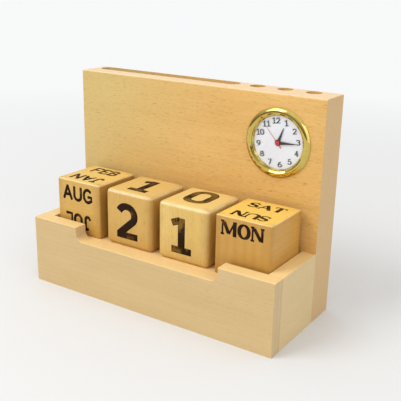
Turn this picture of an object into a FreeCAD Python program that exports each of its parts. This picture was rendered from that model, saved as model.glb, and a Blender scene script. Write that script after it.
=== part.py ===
"""Desk clock with a cube calendar: beech tray, pen block, four cubes and a quartz clock insert.

Millimetres. X runs to the right, Y to the back and Z up. The origin lies under the middle of
the object, on the desk. Every driving size is a cell of the sheet named Sizes.
"""
import FreeCAD, Part
import math
import os
import Sketcher
from FreeCAD import Placement, Rotation, Vector

DOCUMENT = FreeCAD.newDocument("DeskClockCalendar")

DRIVING_SIZES = [
    # Block and tray
    ("block_height", 121.5, "overall height"),
    ("block_depth", 21.0, "front to back of the tall block"),
    ("block_ease", 0.8, "rounding of the block's outer edges"),
    ("tray_lip", 8.0, "how far the tray's boards rise above the floor"),
    ("front_thickness", 8.0, "front board"),
    ("side_thickness", 8.0, "side boards"),
    ("floor_level", 32.0, "top of the floor that carries the cubes"),
    ("floor_thickness", 8.0, "floor board"),
    ("tongue_thickness", 4.0, "tongue around the floor board"),
    ("groove_depth", 3.0, "groove that takes the tongue"),
    ("glue_gap", 0.2, "room left for glue at the end of a tongue or dowel"),
    ("notch_shoulder", 24.5, "from a side board to the finger notch"),
    ("notch_radius", 4.5, "inner corners of the notch"),
    ("board_ease", 0.5, "rounding of the front board's edges"),
    ("dowel_radius", 2.0, "dowels of the corner joints"),
    ("dowel_length", 18.0, "dowels of the corner joints"),
    ("dowel_reach", 5.0, "how deep a dowel enters the front board or the block"),
    ("dowel_fit", 0.05, "radial clearance of a dowel in its hole"),
    ("dowel_level", 12.0, "height of the dowels"),
    # Pen holes and card slot, drilled and routed from the top
    ("pocket_line", 14.9, "from the block's face to the middle of slot and pen holes"),
    ("pen_radius", 4.3, "pen holes"),
    ("pen_depth", 75.0, "deepest pen hole, the one on the left"),
    ("pen_step", 1.0, "how much less deep each next pen hole is"),
    ("pen_spacing", 16.6, "between pen holes"),
    ("pen_margin", 14.0, "from the block's right side to the middle of the last pen hole"),
    ("slot_width", 9.0, "card slot"),
    ("slot_depth", 45.0, "card slot"),
    ("slot_margin", 3.5, "from the block's left side to the slot"),
    ("slot_gap", 7.0, "between the slot and the first pen hole"),
    # Calendar cubes
    ("cube_size", 32.0, "edge of a calendar cube"),
    ("cube_gap", 4.5, "between cubes"),
    ("cube_margin", 2.1, "between the left board and the first cube"),
    ("cube_margin_right", 0.4, "between the last cube and the right board"),
    ("cube_setback", 2.0, "between the front board and the cubes"),
    ("cube_room", 3.0, "between the cubes and the block"),
    ("month_round", 1.2, "edge rounding of the month cube"),
    ("number_round", 2.6, "edge rounding of the two number cubes"),
    ("weekday_chamfer", 0.4, "edge chamfer of the weekday cube"),
    # Clock insert: depths are measured back from the block's face
    ("clock_margin", 25.8, "from the block's right side to the clock axis"),
    ("clock_drop", 25.4, "from the block's top down to the clock axis"),
    ("bore_depth", 7.4, "bore that takes the insert"),
    ("bezel_overlap", 1.1, "how far the bezel covers the wood around the bore"),
    ("bezel_rise", 1.9, "how far the bezel's crest stands out"),
    ("bezel_rim", 0.4, "thickness of the bezel's outer rim"),
    ("bezel_dome", 3.4, "curve of the bezel from its rim to its crest"),
    ("crest_inset", 2.8, "from the outside of the bezel in to its crest"),
    ("bezel_skirt", 1.3, "length of the collar that grips the case"),
    ("skirt_wall", 0.7, "collar that grips the case"),
    ("bezel_lip", 1.5, "ledge of the bezel over the edge of the dial"),
    ("lens_overlap", 1.0, "how far the lens reaches over the edge of the window"),
    ("lens_thickness", 0.5, "lens"),
    ("lens_back", 0.92, "how far the back of the lens stands out from the block's face"),
    ("lens_seat", 0.3, "shoulder under the rim of the lens"),
    ("case_wall", 0.9, "side wall of the case"),
    ("case_back", 0.7, "back of the case"),
    ("case_room", 0.2, "between the train bridge and the case's back"),
    ("seat_gap", 0.05, "gap between seated parts of the insert"),
    ("ring_wall", 0.6, "mounting ring under its ribs"),
    ("rib_height", 0.4, "ribs around the mounting ring"),
    ("ring_length", 4.2, "mounting ring"),
    ("ring_ribs", 16, "ribs around the mounting ring"),
    ("rib_width", 0.8, "ribs around the mounting ring"),
    ("hand_front", -0.65, "front of the second hand"),
    ("hand_pitch", 0.3, "from one hand to the next"),
    ("hand_thickness", 0.15, "hands"),
    ("hand_clearance", 0.25, "from the hour hand to the dial"),
    ("hour_hand_length", 8.6, "hour hand"),
    ("minute_hand_length", 10.8, "minute hand"),
    ("second_hand_length", 10.4, "second hand"),
    ("second_hand_tail", 3.3, "second hand behind its hub"),
    ("hand_width", 1.6, "widest part of the hour and minute hands"),
    ("hand_belly", 0.2, "how far out a hand is widest, as a share of its length"),
    ("hand_tip", 0.12, "half the width of a hand's tip"),
    ("hour_hub", 1.75, "hub of the hour hand"),
    ("minute_hub", 1.4, "hub of the minute hand"),
    ("second_hub", 1.3, "hub of the second hand"),
    ("hour_hand_angle", 19.7, "hour hand, clockwise from upright, degrees"),
    ("minute_hand_angle", 86.7, "minute hand, clockwise from upright, degrees"),
    ("second_hand_angle", 318.4, "second hand, clockwise from upright, degrees"),
    ("dial_thickness", 0.3, "dial"),
    ("dial_hole", 1.5, "hole in the middle of the dial"),
    # Movement
    ("wheel_thickness", 0.3, "toothed wheels"),
    ("level_gap", 0.25, "between one level of wheels and the next"),
    ("pinion_extra", 0.05, "how far a pinion stands past its wheel"),
    ("plate_thickness", 0.6, "main plate"),
    ("bridge_thickness", 0.4, "train bridge"),
    ("bridge_radius", 8.2, "train bridge without its ears"),
    ("holder_room", 0.9, "between the circuit board and the movement holder"),
    ("holder_wall", 1.95, "wall of the movement holder"),
    ("ledge", 0.55, "ledge of the holder behind the main plate"),
    ("pivot_gap", 0.04, "radial clearance of every pivot"),
    ("arbor_radius", 0.3, "arbors of the third and fifth wheels"),
    ("rotor_arbor", 0.2, "arbor of the rotor"),
    ("seconds_arbor", 0.25, "arbor of the seconds wheel"),
    ("cannon_bore", 0.31, "bore of the cannon pinion"),
    ("cannon_radius", 0.7, "tube of the cannon pinion"),
    ("cannon_collar", 0.95, "collar of the cannon pinion behind the centre wheel"),
    ("hour_bore", 0.76, "bore of the hour wheel's pipe"),
    ("hour_pipe", 1.15, "outside of the hour wheel's pipe"),
    ("setting_arbor", 0.5, "setting arbor"),
    ("setting_reach", 6.75, "from the clock axis down to the setting arbor"),
    ("knob_radius", 2.6, "setting knob"),
    ("knob_thickness", 0.6, "setting knob"),
    ("knob_gap", 0.1, "between the case and the knob"),
    ("knob_notches", 12, "grip notches around the knob"),
    ("notch_depth", 0.15, "grip notches around the knob"),
    ("third_module", 0.24, "teeth of seconds pinion and third wheel"),
    ("third_angle", 15.0, "direction of the third wheel, degrees"),
    ("fifth_module", 0.344, "teeth of seconds wheel and fifth pinion"),
    ("fifth_angle", 160.0, "direction of the fifth wheel, degrees"),
    ("rotor_module", 0.22, "teeth of fifth wheel and rotor pinion"),
    ("rotor_angle", 255.0, "direction of the rotor from the fifth wheel, degrees"),
    ("magnet_radius", 1.4, "rotor magnet"),
    ("magnet_length", 0.95, "rotor magnet"),
    ("air_gap", 0.3, "between the magnet and the stator"),
    ("stator_thickness", 0.4, "stator plate"),
    ("stator_ring", 1.0, "ring of the stator around the magnet"),
    ("stator_arm", 0.7, "half the width of a stator arm"),
    ("stator_elbow", 3.2, "from the coil's core to the elbows of the stator"),
    ("coil_angle", 225.0, "direction of the coil, degrees"),
    ("coil_distance", 10.8, "from the clock axis to the coil"),
    ("coil_radius", 1.1, "winding"),
    ("coil_length", 7.6, "bobbin of the winding"),
    ("flange_thickness", 0.3, "flanges of the bobbin"),
    ("flange_rise", 0.15, "how far the flanges stand out"),
    ("core_length", 10.4, "between the round ends of the coil's core"),
    ("core_thickness", 0.4, "coil's core"),
    ("battery_radius", 3.4, "button cell"),
    ("battery_height", 2.15, "button cell"),
    ("battery_can", 1.72, "can of the button cell below its cap"),
    ("battery_cap", 2.8, "cap of the button cell"),
    ("clip_thickness", 0.15, "battery contact"),
    ("clip_reach", 2.2, "from the middle of the battery contact to its round ends"),
    ("clip_end", 1.25, "round ends of the battery contact"),
    ("hatch_margin", 0.6, "how far the hatch reaches past the button cell"),
    ("hatch_boss", 2.5, "boss of the hatch that holds the battery"),
    ("hatch_lug", 0.4, "how far the hatch's two lugs stand out"),
    ("lug_thickness", 0.12, "lugs of the hatch"),
    ("lug_width", 1.2, "lugs of the hatch"),
    ("hatch_turn", 60.0, "turn that frees the hatch, degrees"),
    ("coin_slot", 5.0, "coin slot of the hatch, between its round ends"),
    ("coin_slot_end", 0.4, "round ends of the coin slot"),
    ("coin_slot_depth", 0.45, "coin slot of the hatch"),
    ("pillar_radius", 0.8, "pillars under the train bridge"),
    ("lower_pillar", 8.8, "from the clock axis to the lower pillar"),
    ("right_pillar", 10.5, "from the clock axis to the right pillar"),
    ("left_pillar", 11.2, "from the clock axis to the left pillar"),
    ("ear_radius", 1.3, "ears of the train bridge"),
    ("screw_radius", 0.3, "shank of a bridge screw"),
    ("screw_head", 0.7, "head of a bridge screw"),
    ("head_height", 0.15, "head of a bridge screw"),
    ("screw_length", 1.6, "shank of a bridge screw"),
    ("board_inside", 6.3, "inner radius of the circuit board"),
    ("board_outside", 12.6, "outer radius of the circuit board, which bounds the movement"),
    ("board_thickness", 0.4, "circuit board"),
    ("board_start", -68.0, "first side of the circuit board, degrees"),
    ("board_end", -8.0, "last side of the circuit board, degrees"),
    ("crystal_radius", 0.75, "can of the quartz crystal"),
    ("crystal_length", 5.5, "can of the quartz crystal"),
    ("crystal_distance", 10.0, "from the clock axis to the crystal"),
    ("crystal_angle", -38.0, "direction of the crystal, degrees"),
    ("chip_size", 1.8, "driver chip"),
    ("chip_thickness", 0.3, "driver chip"),
    ("chip_distance", 8.0, "from the clock axis to the chip"),
    ("chip_angle", -56.0, "direction of the chip, degrees"),
]

# Tooth counts. A step of the rotor is half a turn, so thirty turns make one of the second hand.
ROTOR_TEETH = 6
FIFTH_WHEEL_TEETH = 36
FIFTH_PINION_TEETH = 6
SECONDS_WHEEL_TEETH = 30
SECONDS_PINION_TEETH = 6
THIRD_WHEEL_TEETH = 45
THIRD_PINION_TEETH = 6
CENTRE_WHEEL_TEETH = 48
CANNON_TEETH = 10
MINUTE_WHEEL_TEETH = 30
MINUTE_PINION_TEETH = 8
HOUR_WHEEL_TEETH = 32

# Tooth form, in modules, with the pressure angle in degrees
PRESSURE_ANGLE = 20.0
WHEEL_ADDENDUM = 0.8
PINION_ADDENDUM = 0.95
DEDENDUM = 1.25
BACKLASH = 0.16

class Size:
    """A number together with the sheet formula that it comes from."""

    def __init__(self, number, text):
        self.number = float(number)
        self.text = text

    def join(self, sign, other, number, swapped=False):
        """Return the size made by joining this one and another with an arithmetic sign."""
        words = (other.text, self.text) if swapped else (self.text, other.text)
        return Size(number, "({} {} {})".format(words[0], sign, words[1]))

    def __add__(self, other):
        other = as_size(other)
        return self.join("+", other, self.number + other.number)

    def __sub__(self, other):
        other = as_size(other)
        return self.join("-", other, self.number - other.number)

    def __mul__(self, other):
        other = as_size(other)
        return self.join("*", other, self.number * other.number)

    def __truediv__(self, other):
        other = as_size(other)
        return self.join("/", other, self.number / other.number)

    def __radd__(self, other):
        return as_size(other) + self

    def __rsub__(self, other):
        return as_size(other) - self

    def __rmul__(self, other):
        return as_size(other) * self

    def __neg__(self):
        return Size(-self.number, "(-1 * {})".format(self.text))


def as_size(value):
    """Return a plain number as a Size, and a Size as it is."""
    if isinstance(value, Size):
        return value
    return Size(value, repr(float(value)))


def cosine(angle):
    """Cosine of a Size in degrees."""
    return Size(math.cos(math.radians(angle.number)), "cos({})".format(angle.text))


def sine(angle):
    """Sine of a Size in degrees."""
    return Size(math.sin(math.radians(angle.number)), "sin({})".format(angle.text))


class SizeSheet:
    """The spreadsheet of driving sizes, read as attributes."""

    def __init__(self, document, rows):
        self.sheet = document.addObject("Spreadsheet::Sheet", "Sizes")
        for row, (alias, number, meaning) in enumerate(rows, start=1):
            self.sheet.set("A{}".format(row), meaning)
            self.sheet.set("B{}".format(row), str(number))
            self.sheet.setAlias("B{}".format(row), alias)
        document.recompute()
        for alias, number, _ in rows:
            setattr(self, alias, Size(number, "Sizes.{}".format(alias)))


S = SizeSheet(DOCUMENT, DRIVING_SIZES)


def bind(target, name, size):
    """Bind one property of an object to the formula of a size."""
    target.setExpression(name, as_size(size).text)


def new_body(label):
    """Return an empty body that becomes one sub-part."""
    body = DOCUMENT.addObject("PartDesign::Body", label)
    body.Label = label
    return body


def new_sketch(body, plane, offset=0):
    """Return a sketch on one of the body's own origin planes, moved along the plane's normal."""
    sketch = body.newObject("Sketcher::SketchObject", body.Label + "_sketch")
    support = next(item for item in body.Origin.OriginFeatures if item.Role == plane)
    sketch.AttachmentSupport = [(support, "")]
    sketch.MapMode = "FlatFace"
    bind(sketch, "AttachmentOffset.Base.z", offset)
    return sketch


def constrain(sketch, kind, references, size):
    """Add one dimension to a sketch and bind it to its size."""
    size = as_size(size)
    index = sketch.addConstraint(Sketcher.Constraint(kind, *references, size.number))
    bind(sketch, "Constraints[{}]".format(index), size)


def pin_point(sketch, edge, vertex, x, y):
    """Hold a vertex of a sketch at x and y."""
    constrain(sketch, "DistanceX", (-1, 1, edge, vertex), x)
    constrain(sketch, "DistanceY", (-1, 1, edge, vertex), y)


def draw_circle(sketch, x, y, radius):
    """Draw a circle."""
    x, y, radius = as_size(x), as_size(y), as_size(radius)
    circle = Part.Circle(Vector(x.number, y.number, 0), Vector(0, 0, 1), radius.number)
    edge = sketch.addGeometry(circle, False)
    pin_point(sketch, edge, 3, x, y)
    constrain(sketch, "Radius", (edge,), radius)


def draw_outline(sketch, points):
    """Draw a closed outline.

    A point is (x, y), or (x, y, radius) where an arc of that radius leads to it. A positive
    radius bulges to the right of the way from the point before, a negative one to the left.
    """
    corners = [(as_size(point[0]), as_size(point[1])) for point in points]
    bulges = [as_size(point[2]) if len(point) > 2 else None for point in points]
    edges = []
    for index, corner in enumerate(corners):
        before = Vector(corners[index - 1][0].number, corners[index - 1][1].number, 0)
        here = Vector(corner[0].number, corner[1].number, 0)
        if bulges[index] is None:
            edges.append((sketch.addGeometry(Part.LineSegment(before, here), False), 1, 2))
        else:
            edges.append(draw_arc(sketch, before, here, bulges[index].number))
    for index, (edge, first, last) in enumerate(edges):
        follower, follower_first, _ = edges[(index + 1) % len(edges)]
        references = (edge, last, follower, follower_first)
        sketch.addConstraint(Sketcher.Constraint("Coincident", *references))
        pin_point(sketch, edge, last, *corners[index])
        if bulges[index] is not None:
            size = bulges[index] if bulges[index].number > 0 else -bulges[index]
            constrain(sketch, "Radius", (edge,), size)


def draw_arc(sketch, start, end, bulge):
    """Draw the short arc between two points and return its edge with its two vertex numbers."""
    chord = end - start
    right = Vector(chord.y, -chord.x, 0).normalize()
    rise = math.sqrt(bulge ** 2 - (chord.Length / 2) ** 2)
    side = 1.0 if bulge > 0 else -1.0
    centre = (start + end) * 0.5 - right * (side * rise)
    middle = centre + right * (side * abs(bulge))
    if bulge > 0:
        return sketch.addGeometry(Part.Arc(start, middle, end), False), 1, 2
    return sketch.addGeometry(Part.Arc(end, middle, start), False), 2, 1


def draw_rectangle(sketch, left, bottom, right, top):
    """Draw a rectangle from its four sides."""
    draw_outline(sketch, [(right, bottom), (right, top), (left, top), (left, bottom)])


def draw_bar(sketch, start, end, radius):
    """Draw a bar with two half-round ends around a straight centre line."""
    ends = [Vector(as_size(x).number, as_size(y).number, 0) for x, y in (start, end)]
    number = as_size(radius).number
    turn = math.atan2(ends[1].y - ends[0].y, ends[1].x - ends[0].x)
    normal = Vector(-math.sin(turn), math.cos(turn), 0) * number
    arcs = []
    for index, sweep in ((0, math.pi / 2), (1, -math.pi / 2)):
        circle = Part.Circle(ends[index], Vector(0, 0, 1), number)
        arc = Part.ArcOfCircle(circle, turn + sweep, turn + sweep + math.pi)
        arcs.append(sketch.addGeometry(arc, False))
    upper = sketch.addGeometry(Part.LineSegment(ends[1] + normal, ends[0] + normal), False)
    lower = sketch.addGeometry(Part.LineSegment(ends[0] - normal, ends[1] - normal), False)
    joints = ((upper, 2, arcs[0], 1), (arcs[0], 2, lower, 1), (lower, 2, arcs[1], 1), (arcs[1], 2, upper, 1))
    for references in joints:
        sketch.addConstraint(Sketcher.Constraint("Tangent", *references))
    sketch.addConstraint(Sketcher.Constraint("Equal", arcs[0], arcs[1]))
    constrain(sketch, "Radius", (arcs[0],), radius)
    pin_point(sketch, arcs[0], 3, *start)
    pin_point(sketch, arcs[1], 3, *end)


def pad(body, sketch, length, backwards=False):
    """Extrude a sketch along its normal, or backwards."""
    feature = body.newObject("PartDesign::Pad", body.Label + "_pad")
    feature.Profile = sketch
    feature.Reversed = backwards
    bind(feature, "Length", length)
    return feature


def pocket(body, sketch, length, forwards=False):
    """Cut a sketch against its normal, or forwards along it."""
    feature = body.newObject("PartDesign::Pocket", body.Label + "_pocket")
    feature.Profile = sketch
    feature.Reversed = forwards
    bind(feature, "Length", length)
    return feature


def revolve(body, sketch):
    """Turn a sketch once around its vertical axis."""
    feature = body.newObject("PartDesign::Revolution", body.Label + "_revolution")
    feature.Profile = sketch
    feature.ReferenceAxis = (sketch, ["V_Axis"])
    feature.Angle = 360.0
    return feature


def ease_edges(body, size, wanted, kind="Fillet"):
    """Round or chamfer the edges of the body whose middle and direction satisfy a test."""
    DOCUMENT.recompute()
    base = body.Tip
    names = []
    for index, edge in enumerate(base.Shape.Edges, start=1):
        middle = edge.valueAt((edge.FirstParameter + edge.LastParameter) / 2)
        direction = edge.Vertexes[-1].Point - edge.Vertexes[0].Point
        if direction.Length > 0 and wanted(middle, direction.normalize()):
            names.append("Edge{}".format(index))
    feature = body.newObject("PartDesign::" + kind, body.Label + "_ease")
    feature.Base = (base, names)
    bind(feature, "Radius" if kind == "Fillet" else "Size", size)
    return feature


def repeat_around(body, feature, count):
    """Repeat a feature evenly around the body's Z axis."""
    axis = next(item for item in body.Origin.OriginFeatures if item.Role == "Z_Axis")
    pattern = body.newObject("PartDesign::PolarPattern", body.Label + "_pattern")
    pattern.Originals = [feature]
    pattern.Axis = (axis, [""])
    pattern.Angle = 360.0
    bind(pattern, "Occurrences", count)
    body.Tip = pattern
    return pattern


def near(first, second):
    """Tell whether two numbers are the same length."""
    return abs(first - second) < 1e-4


def upright(direction):
    """Tell whether an edge of unit direction stands upright."""
    return near(abs(direction.z), 1.0)


def place(part, x, y, z):
    """Bind the place of a sub-part."""
    bind(part, "Placement.Base.x", x)
    bind(part, "Placement.Base.y", y)
    bind(part, "Placement.Base.z", z)


# Places that several sub-parts share
CUBE_STEP = S.cube_size + S.cube_gap
INNER_WIDTH = S.cube_margin + 3 * CUBE_STEP + S.cube_size + S.cube_margin_right
INNER_DEPTH = S.cube_setback + S.cube_size + S.cube_room
BLOCK_WIDTH = INNER_WIDTH + 2 * S.side_thickness
TRAY_DEPTH = INNER_DEPTH + S.front_thickness
TRAY_HEIGHT = S.floor_level + S.tray_lip
BLOCK_FACE = (TRAY_DEPTH - S.block_depth) / 2
TRAY_FRONT = BLOCK_FACE - TRAY_DEPTH
CLOCK_RIGHT = BLOCK_WIDTH / 2 - S.clock_margin
CLOCK_UP = S.block_height - S.clock_drop
FLOOR_UNDERSIDE = S.floor_level - S.floor_thickness
SIDE_MIDDLE = (BLOCK_WIDTH - S.side_thickness) / 2
GROOVE_HALF = INNER_WIDTH / 2 + S.groove_depth
TONGUE = S.groove_depth - S.glue_gap
DOWEL_HOLE = S.dowel_radius + S.dowel_fit

# Radii of the insert, from the movement outwards
HOLDER_BORE = S.board_outside + S.holder_room
CASE_BORE = HOLDER_BORE + S.holder_wall + S.seat_gap
CASE_RADIUS = CASE_BORE + S.case_wall
RING_BORE = CASE_RADIUS + S.seat_gap
RIB_TIP = RING_BORE + S.ring_wall + S.rib_height
BORE_RADIUS = RIB_TIP + S.seat_gap
BEZEL_RADIUS = BORE_RADIUS + S.bezel_overlap
CREST_RADIUS = BEZEL_RADIUS - S.crest_inset
WINDOW_RADIUS = CASE_BORE - S.bezel_lip
LENS_RADIUS = WINDOW_RADIUS + S.lens_overlap
HATCH_RADIUS = S.battery_radius + S.hatch_margin


def build_back_block():
    """Tall block with the clock bore, the card slot and three pen holes."""
    body = new_body("back_block")
    half = BLOCK_WIDTH / 2
    blank = new_sketch(body, "XY_Plane")
    draw_rectangle(blank, -half, 0, half, S.block_depth)
    pad(body, blank, S.block_height)

    def outer(middle, direction):
        on_top = near(middle.z, S.block_height.number)
        behind = near(middle.y, S.block_depth.number) and upright(direction)
        return on_top or behind

    ease_edges(body, S.block_ease, outer)
    bore = new_sketch(body, "XZ_Plane")
    draw_circle(bore, CLOCK_RIGHT, CLOCK_UP, BORE_RADIUS)
    pocket(body, bore, S.bore_depth)
    slot = new_sketch(body, "XY_Plane", S.block_height)
    slot_end = S.slot_width / 2
    last_pen = half - S.pen_margin
    first_pen = last_pen - 2 * S.pen_spacing
    left = S.slot_margin + slot_end - half
    right = first_pen - S.pen_radius - S.slot_gap - slot_end
    draw_bar(slot, (left, S.pocket_line), (right, S.pocket_line), slot_end)
    pocket(body, slot, S.slot_depth)
    for place_in_row in (0, 1, 2):
        pen = new_sketch(body, "XY_Plane", S.block_height)
        draw_circle(pen, first_pen + place_in_row * S.pen_spacing, S.pocket_line, S.pen_radius)
        pocket(body, pen, S.pen_depth - place_in_row * S.pen_step)
    groove = new_sketch(body, "XZ_Plane")
    draw_floor_groove(groove)
    pocket(body, groove, S.groove_depth)
    holes = new_sketch(body, "XZ_Plane")
    draw_dowel_holes(holes)
    pocket(body, holes, S.dowel_reach + S.glue_gap)
    place(body, 0, BLOCK_FACE, 0)
    return body


def draw_floor_groove(sketch):
    """Draw the groove for the floor's tongue, as seen from the front."""
    top = FLOOR_UNDERSIDE + S.tongue_thickness
    draw_rectangle(sketch, -GROOVE_HALF, FLOOR_UNDERSIDE, GROOVE_HALF, top)


def draw_dowel_holes(sketch):
    """Draw the two dowel holes of a cross board, as seen from the front."""
    for side in (-1, 1):
        draw_circle(sketch, side * SIDE_MIDDLE, S.dowel_level, DOWEL_HOLE)


def build_front_board():
    """Front board of the tray with the round-cornered finger notch."""
    body = new_body("front_board")
    half = BLOCK_WIDTH / 2
    blank = new_sketch(body, "XZ_Plane")
    draw_rectangle(blank, -half, 0, half, TRAY_HEIGHT)
    pad(body, blank, S.front_thickness, backwards=True)
    notch = new_sketch(body, "XZ_Plane")
    notch_half = INNER_WIDTH / 2 - S.notch_shoulder
    draw_rectangle(notch, -notch_half, S.floor_level, notch_half, TRAY_HEIGHT)
    pocket(body, notch, S.front_thickness)

    def inner_corner(middle, direction):
        return near(middle.z, S.floor_level.number) and near(abs(direction.y), 1.0)

    ease_edges(body, S.notch_radius, inner_corner)

    def front_rim(middle, direction):
        return near(middle.y, 0) and not near(middle.z, 0)

    ease_edges(body, S.board_ease, front_rim)
    groove = new_sketch(body, "XZ_Plane", S.groove_depth - S.front_thickness)
    draw_floor_groove(groove)
    pocket(body, groove, S.groove_depth)
    holes = new_sketch(body, "XZ_Plane", S.dowel_reach + S.glue_gap - S.front_thickness)
    draw_dowel_holes(holes)
    pocket(body, holes, S.dowel_reach + S.glue_gap)
    place(body, 0, TRAY_FRONT, 0)
    return body


def build_side_board(label, side):
    """Side board between the front board and the block; side is -1 on the left, 1 on the right."""
    body = new_body(label)
    inner, outer = (0, S.side_thickness) if side > 0 else (-S.side_thickness, 0)
    blank = new_sketch(body, "XY_Plane")
    draw_rectangle(blank, inner, 0, outer, INNER_DEPTH)
    pad(body, blank, TRAY_HEIGHT)
    groove = new_sketch(body, "YZ_Plane", S.groove_depth if side > 0 else 0)
    top = FLOOR_UNDERSIDE + S.tongue_thickness
    draw_rectangle(groove, 0, FLOOR_UNDERSIDE, INNER_DEPTH, top)
    pocket(body, groove, S.groove_depth)
    depth = S.dowel_length - S.dowel_reach + S.glue_gap
    for start in (0, depth - INNER_DEPTH):
        hole = new_sketch(body, "XZ_Plane", start)
        draw_circle(hole, side * S.side_thickness / 2, S.dowel_level, DOWEL_HOLE)
        pocket(body, hole, depth)
    place(body, side * INNER_WIDTH / 2, TRAY_FRONT + S.front_thickness, 0)
    return body


def build_floor_board():
    """Floor under the cubes, with a tongue all round that sits in the boards' grooves."""
    body = new_body("floor_board")
    half = INNER_WIDTH / 2
    panel = new_sketch(body, "XY_Plane")
    draw_rectangle(panel, -half, 0, half, INNER_DEPTH)
    pad(body, panel, S.floor_thickness)
    tongue = new_sketch(body, "XY_Plane")
    draw_rectangle(tongue, -half - TONGUE, -TONGUE, half + TONGUE, INNER_DEPTH + TONGUE)
    pad(body, tongue, S.tongue_thickness)
    place(body, 0, TRAY_FRONT + S.front_thickness, FLOOR_UNDERSIDE)
    return body


def build_joint_dowels():
    """Four dowels: one at each end of each side board."""
    dowels = []
    starts = (TRAY_FRONT + S.front_thickness - S.dowel_reach,
              BLOCK_FACE + S.dowel_reach - S.dowel_length)
    for side in (-1, 1):
        for start in starts:
            dowel = DOCUMENT.addObject("Part::Cylinder", "dowel")
            dowel.Placement = Placement(Vector(), Rotation(Vector(1, 0, 0), -90))
            bind(dowel, "Radius", S.dowel_radius)
            bind(dowel, "Height", S.dowel_length)
            place(dowel, side * SIDE_MIDDLE, start, S.dowel_level)
            dowels.append(dowel)
    group = DOCUMENT.addObject("Part::Compound", "joint_dowels")
    group.Links = dowels
    group.Label = "joint_dowels"
    return group


def build_cube(label, position, easing, kind="Fillet"):
    """Calendar cube in its place on the floor, counted from the left."""
    body = new_body(label)
    half = S.cube_size / 2
    blank = new_sketch(body, "XY_Plane")
    draw_rectangle(blank, -half, -half, half, half)
    pad(body, blank, S.cube_size)
    ease_edges(body, easing, lambda middle, direction: True, kind)
    first = S.cube_margin + half - INNER_WIDTH / 2
    front = TRAY_FRONT + S.front_thickness + S.cube_setback
    place(body, first + position * CUBE_STEP, front + half, S.floor_level)
    return body


def build_wood():
    """Build the tray, the block and the four cubes."""
    return [
        build_back_block(),
        build_front_board(),
        build_side_board("left_side_board", -1),
        build_side_board("right_side_board", 1),
        build_floor_board(),
        build_joint_dowels(),
        build_cube("month_cube", 0, S.month_round),
        build_cube("tens_cube", 1, S.number_round),
        build_cube("units_cube", 2, S.number_round),
        build_cube("weekday_cube", 3, S.weekday_chamfer, "Chamfer"),
    ]


# Depths of the insert's levels, back from the block's face
HOUR_HAND = S.hand_front + 2 * S.hand_pitch
DIAL_FRONT = HOUR_HAND + S.hand_thickness + S.hand_clearance
DIAL_BACK = DIAL_FRONT + S.dial_thickness
LEVEL = S.wheel_thickness + S.level_gap
HOUR_LEVEL = DIAL_BACK + S.level_gap
SETTING_LEVEL = HOUR_LEVEL + LEVEL
PLATE_FRONT = SETTING_LEVEL + LEVEL
PLATE_BACK = PLATE_FRONT + S.plate_thickness
CENTRE_LEVEL = PLATE_BACK + S.level_gap
THIRD_LEVEL = CENTRE_LEVEL + LEVEL
SECONDS_LEVEL = THIRD_LEVEL + LEVEL
FIFTH_LEVEL = SECONDS_LEVEL + LEVEL
BRIDGE_FRONT = FIFTH_LEVEL + LEVEL
BRIDGE_BACK = BRIDGE_FRONT + S.bridge_thickness
CASE_INSIDE = BRIDGE_BACK + S.case_room
CASE_END = CASE_INSIDE + S.case_back
STATOR_BACK = SECONDS_LEVEL - 2 * S.pinion_extra


def toward(angle, distance, start=(0, 0)):
    """Return the point at a direction in degrees and a distance, as seen from the front."""
    angle = as_size(angle)
    return start[0] + distance * cosine(angle), start[1] + distance * sine(angle)


def mesh_distance(first_teeth, second_teeth, module):
    """Distance between the axes of two meshed gears."""
    return module * ((first_teeth + second_teeth) / 2)


THIRD_AXIS = toward(S.third_angle, mesh_distance(SECONDS_PINION_TEETH, THIRD_WHEEL_TEETH, S.third_module))
FIFTH_AXIS = toward(S.fifth_angle, mesh_distance(SECONDS_WHEEL_TEETH, FIFTH_PINION_TEETH, S.fifth_module))
ROTOR_AXIS = toward(
    S.rotor_angle, mesh_distance(FIFTH_WHEEL_TEETH, ROTOR_TEETH, S.rotor_module), FIFTH_AXIS
)
SETTING_AXIS = (0, -S.setting_reach)
PILLARS = [toward(-78.0, S.lower_pillar), toward(57.8, S.right_pillar), toward(140.0, S.left_pillar)]
BATTERY_AXIS = (0, S.board_outside - S.battery_radius)


def place_clock(part, x=0, y=0, depth=0, turn=0.0):
    """Place a part of the insert that faces the viewer: x right, y up, depth back into the block."""
    facing = Rotation(Vector(1, 0, 0), 90)
    part.Placement = Placement(Vector(), facing * Rotation(Vector(0, 0, 1), turn))
    place(part, CLOCK_RIGHT + x, BLOCK_FACE + depth, CLOCK_UP + y)


def build_bezel():
    """Polished bezel: domed outside, funnel down to the dial inside, collar around the case."""
    body = new_body("bezel")
    profile = new_sketch(body, "XZ_Plane")
    lens_edge = LENS_RADIUS + S.seat_gap
    lens_front = S.lens_back + S.lens_thickness
    seat = S.lens_back - S.seat_gap
    foot = S.seat_gap - DIAL_FRONT
    dial_edge = CASE_BORE - 2 * S.seat_gap
    draw_outline(profile, [
        (WINDOW_RADIUS, foot),
        (dial_edge, foot),
        (dial_edge, S.seat_gap),
        (RING_BORE, S.seat_gap),
        (RING_BORE, -S.bezel_skirt),
        (RING_BORE + S.skirt_wall, -S.bezel_skirt),
        (RING_BORE + S.skirt_wall, 0),
        (BEZEL_RADIUS, 0),
        (BEZEL_RADIUS, S.bezel_rim),
        (CREST_RADIUS, S.bezel_rise, S.bezel_dome),
        (lens_edge, lens_front + S.seat_gap),
        (lens_edge, seat),
        (lens_edge - S.lens_seat, seat),
    ])
    revolve(body, profile)
    place_clock(body)
    return body


def build_lens():
    """Flat lens in the bezel's seat."""
    body = new_body("lens")
    disc = new_sketch(body, "XY_Plane")
    draw_circle(disc, 0, 0, LENS_RADIUS)
    pad(body, disc, S.lens_thickness)
    place_clock(body, depth=-S.lens_back)
    return body


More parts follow.
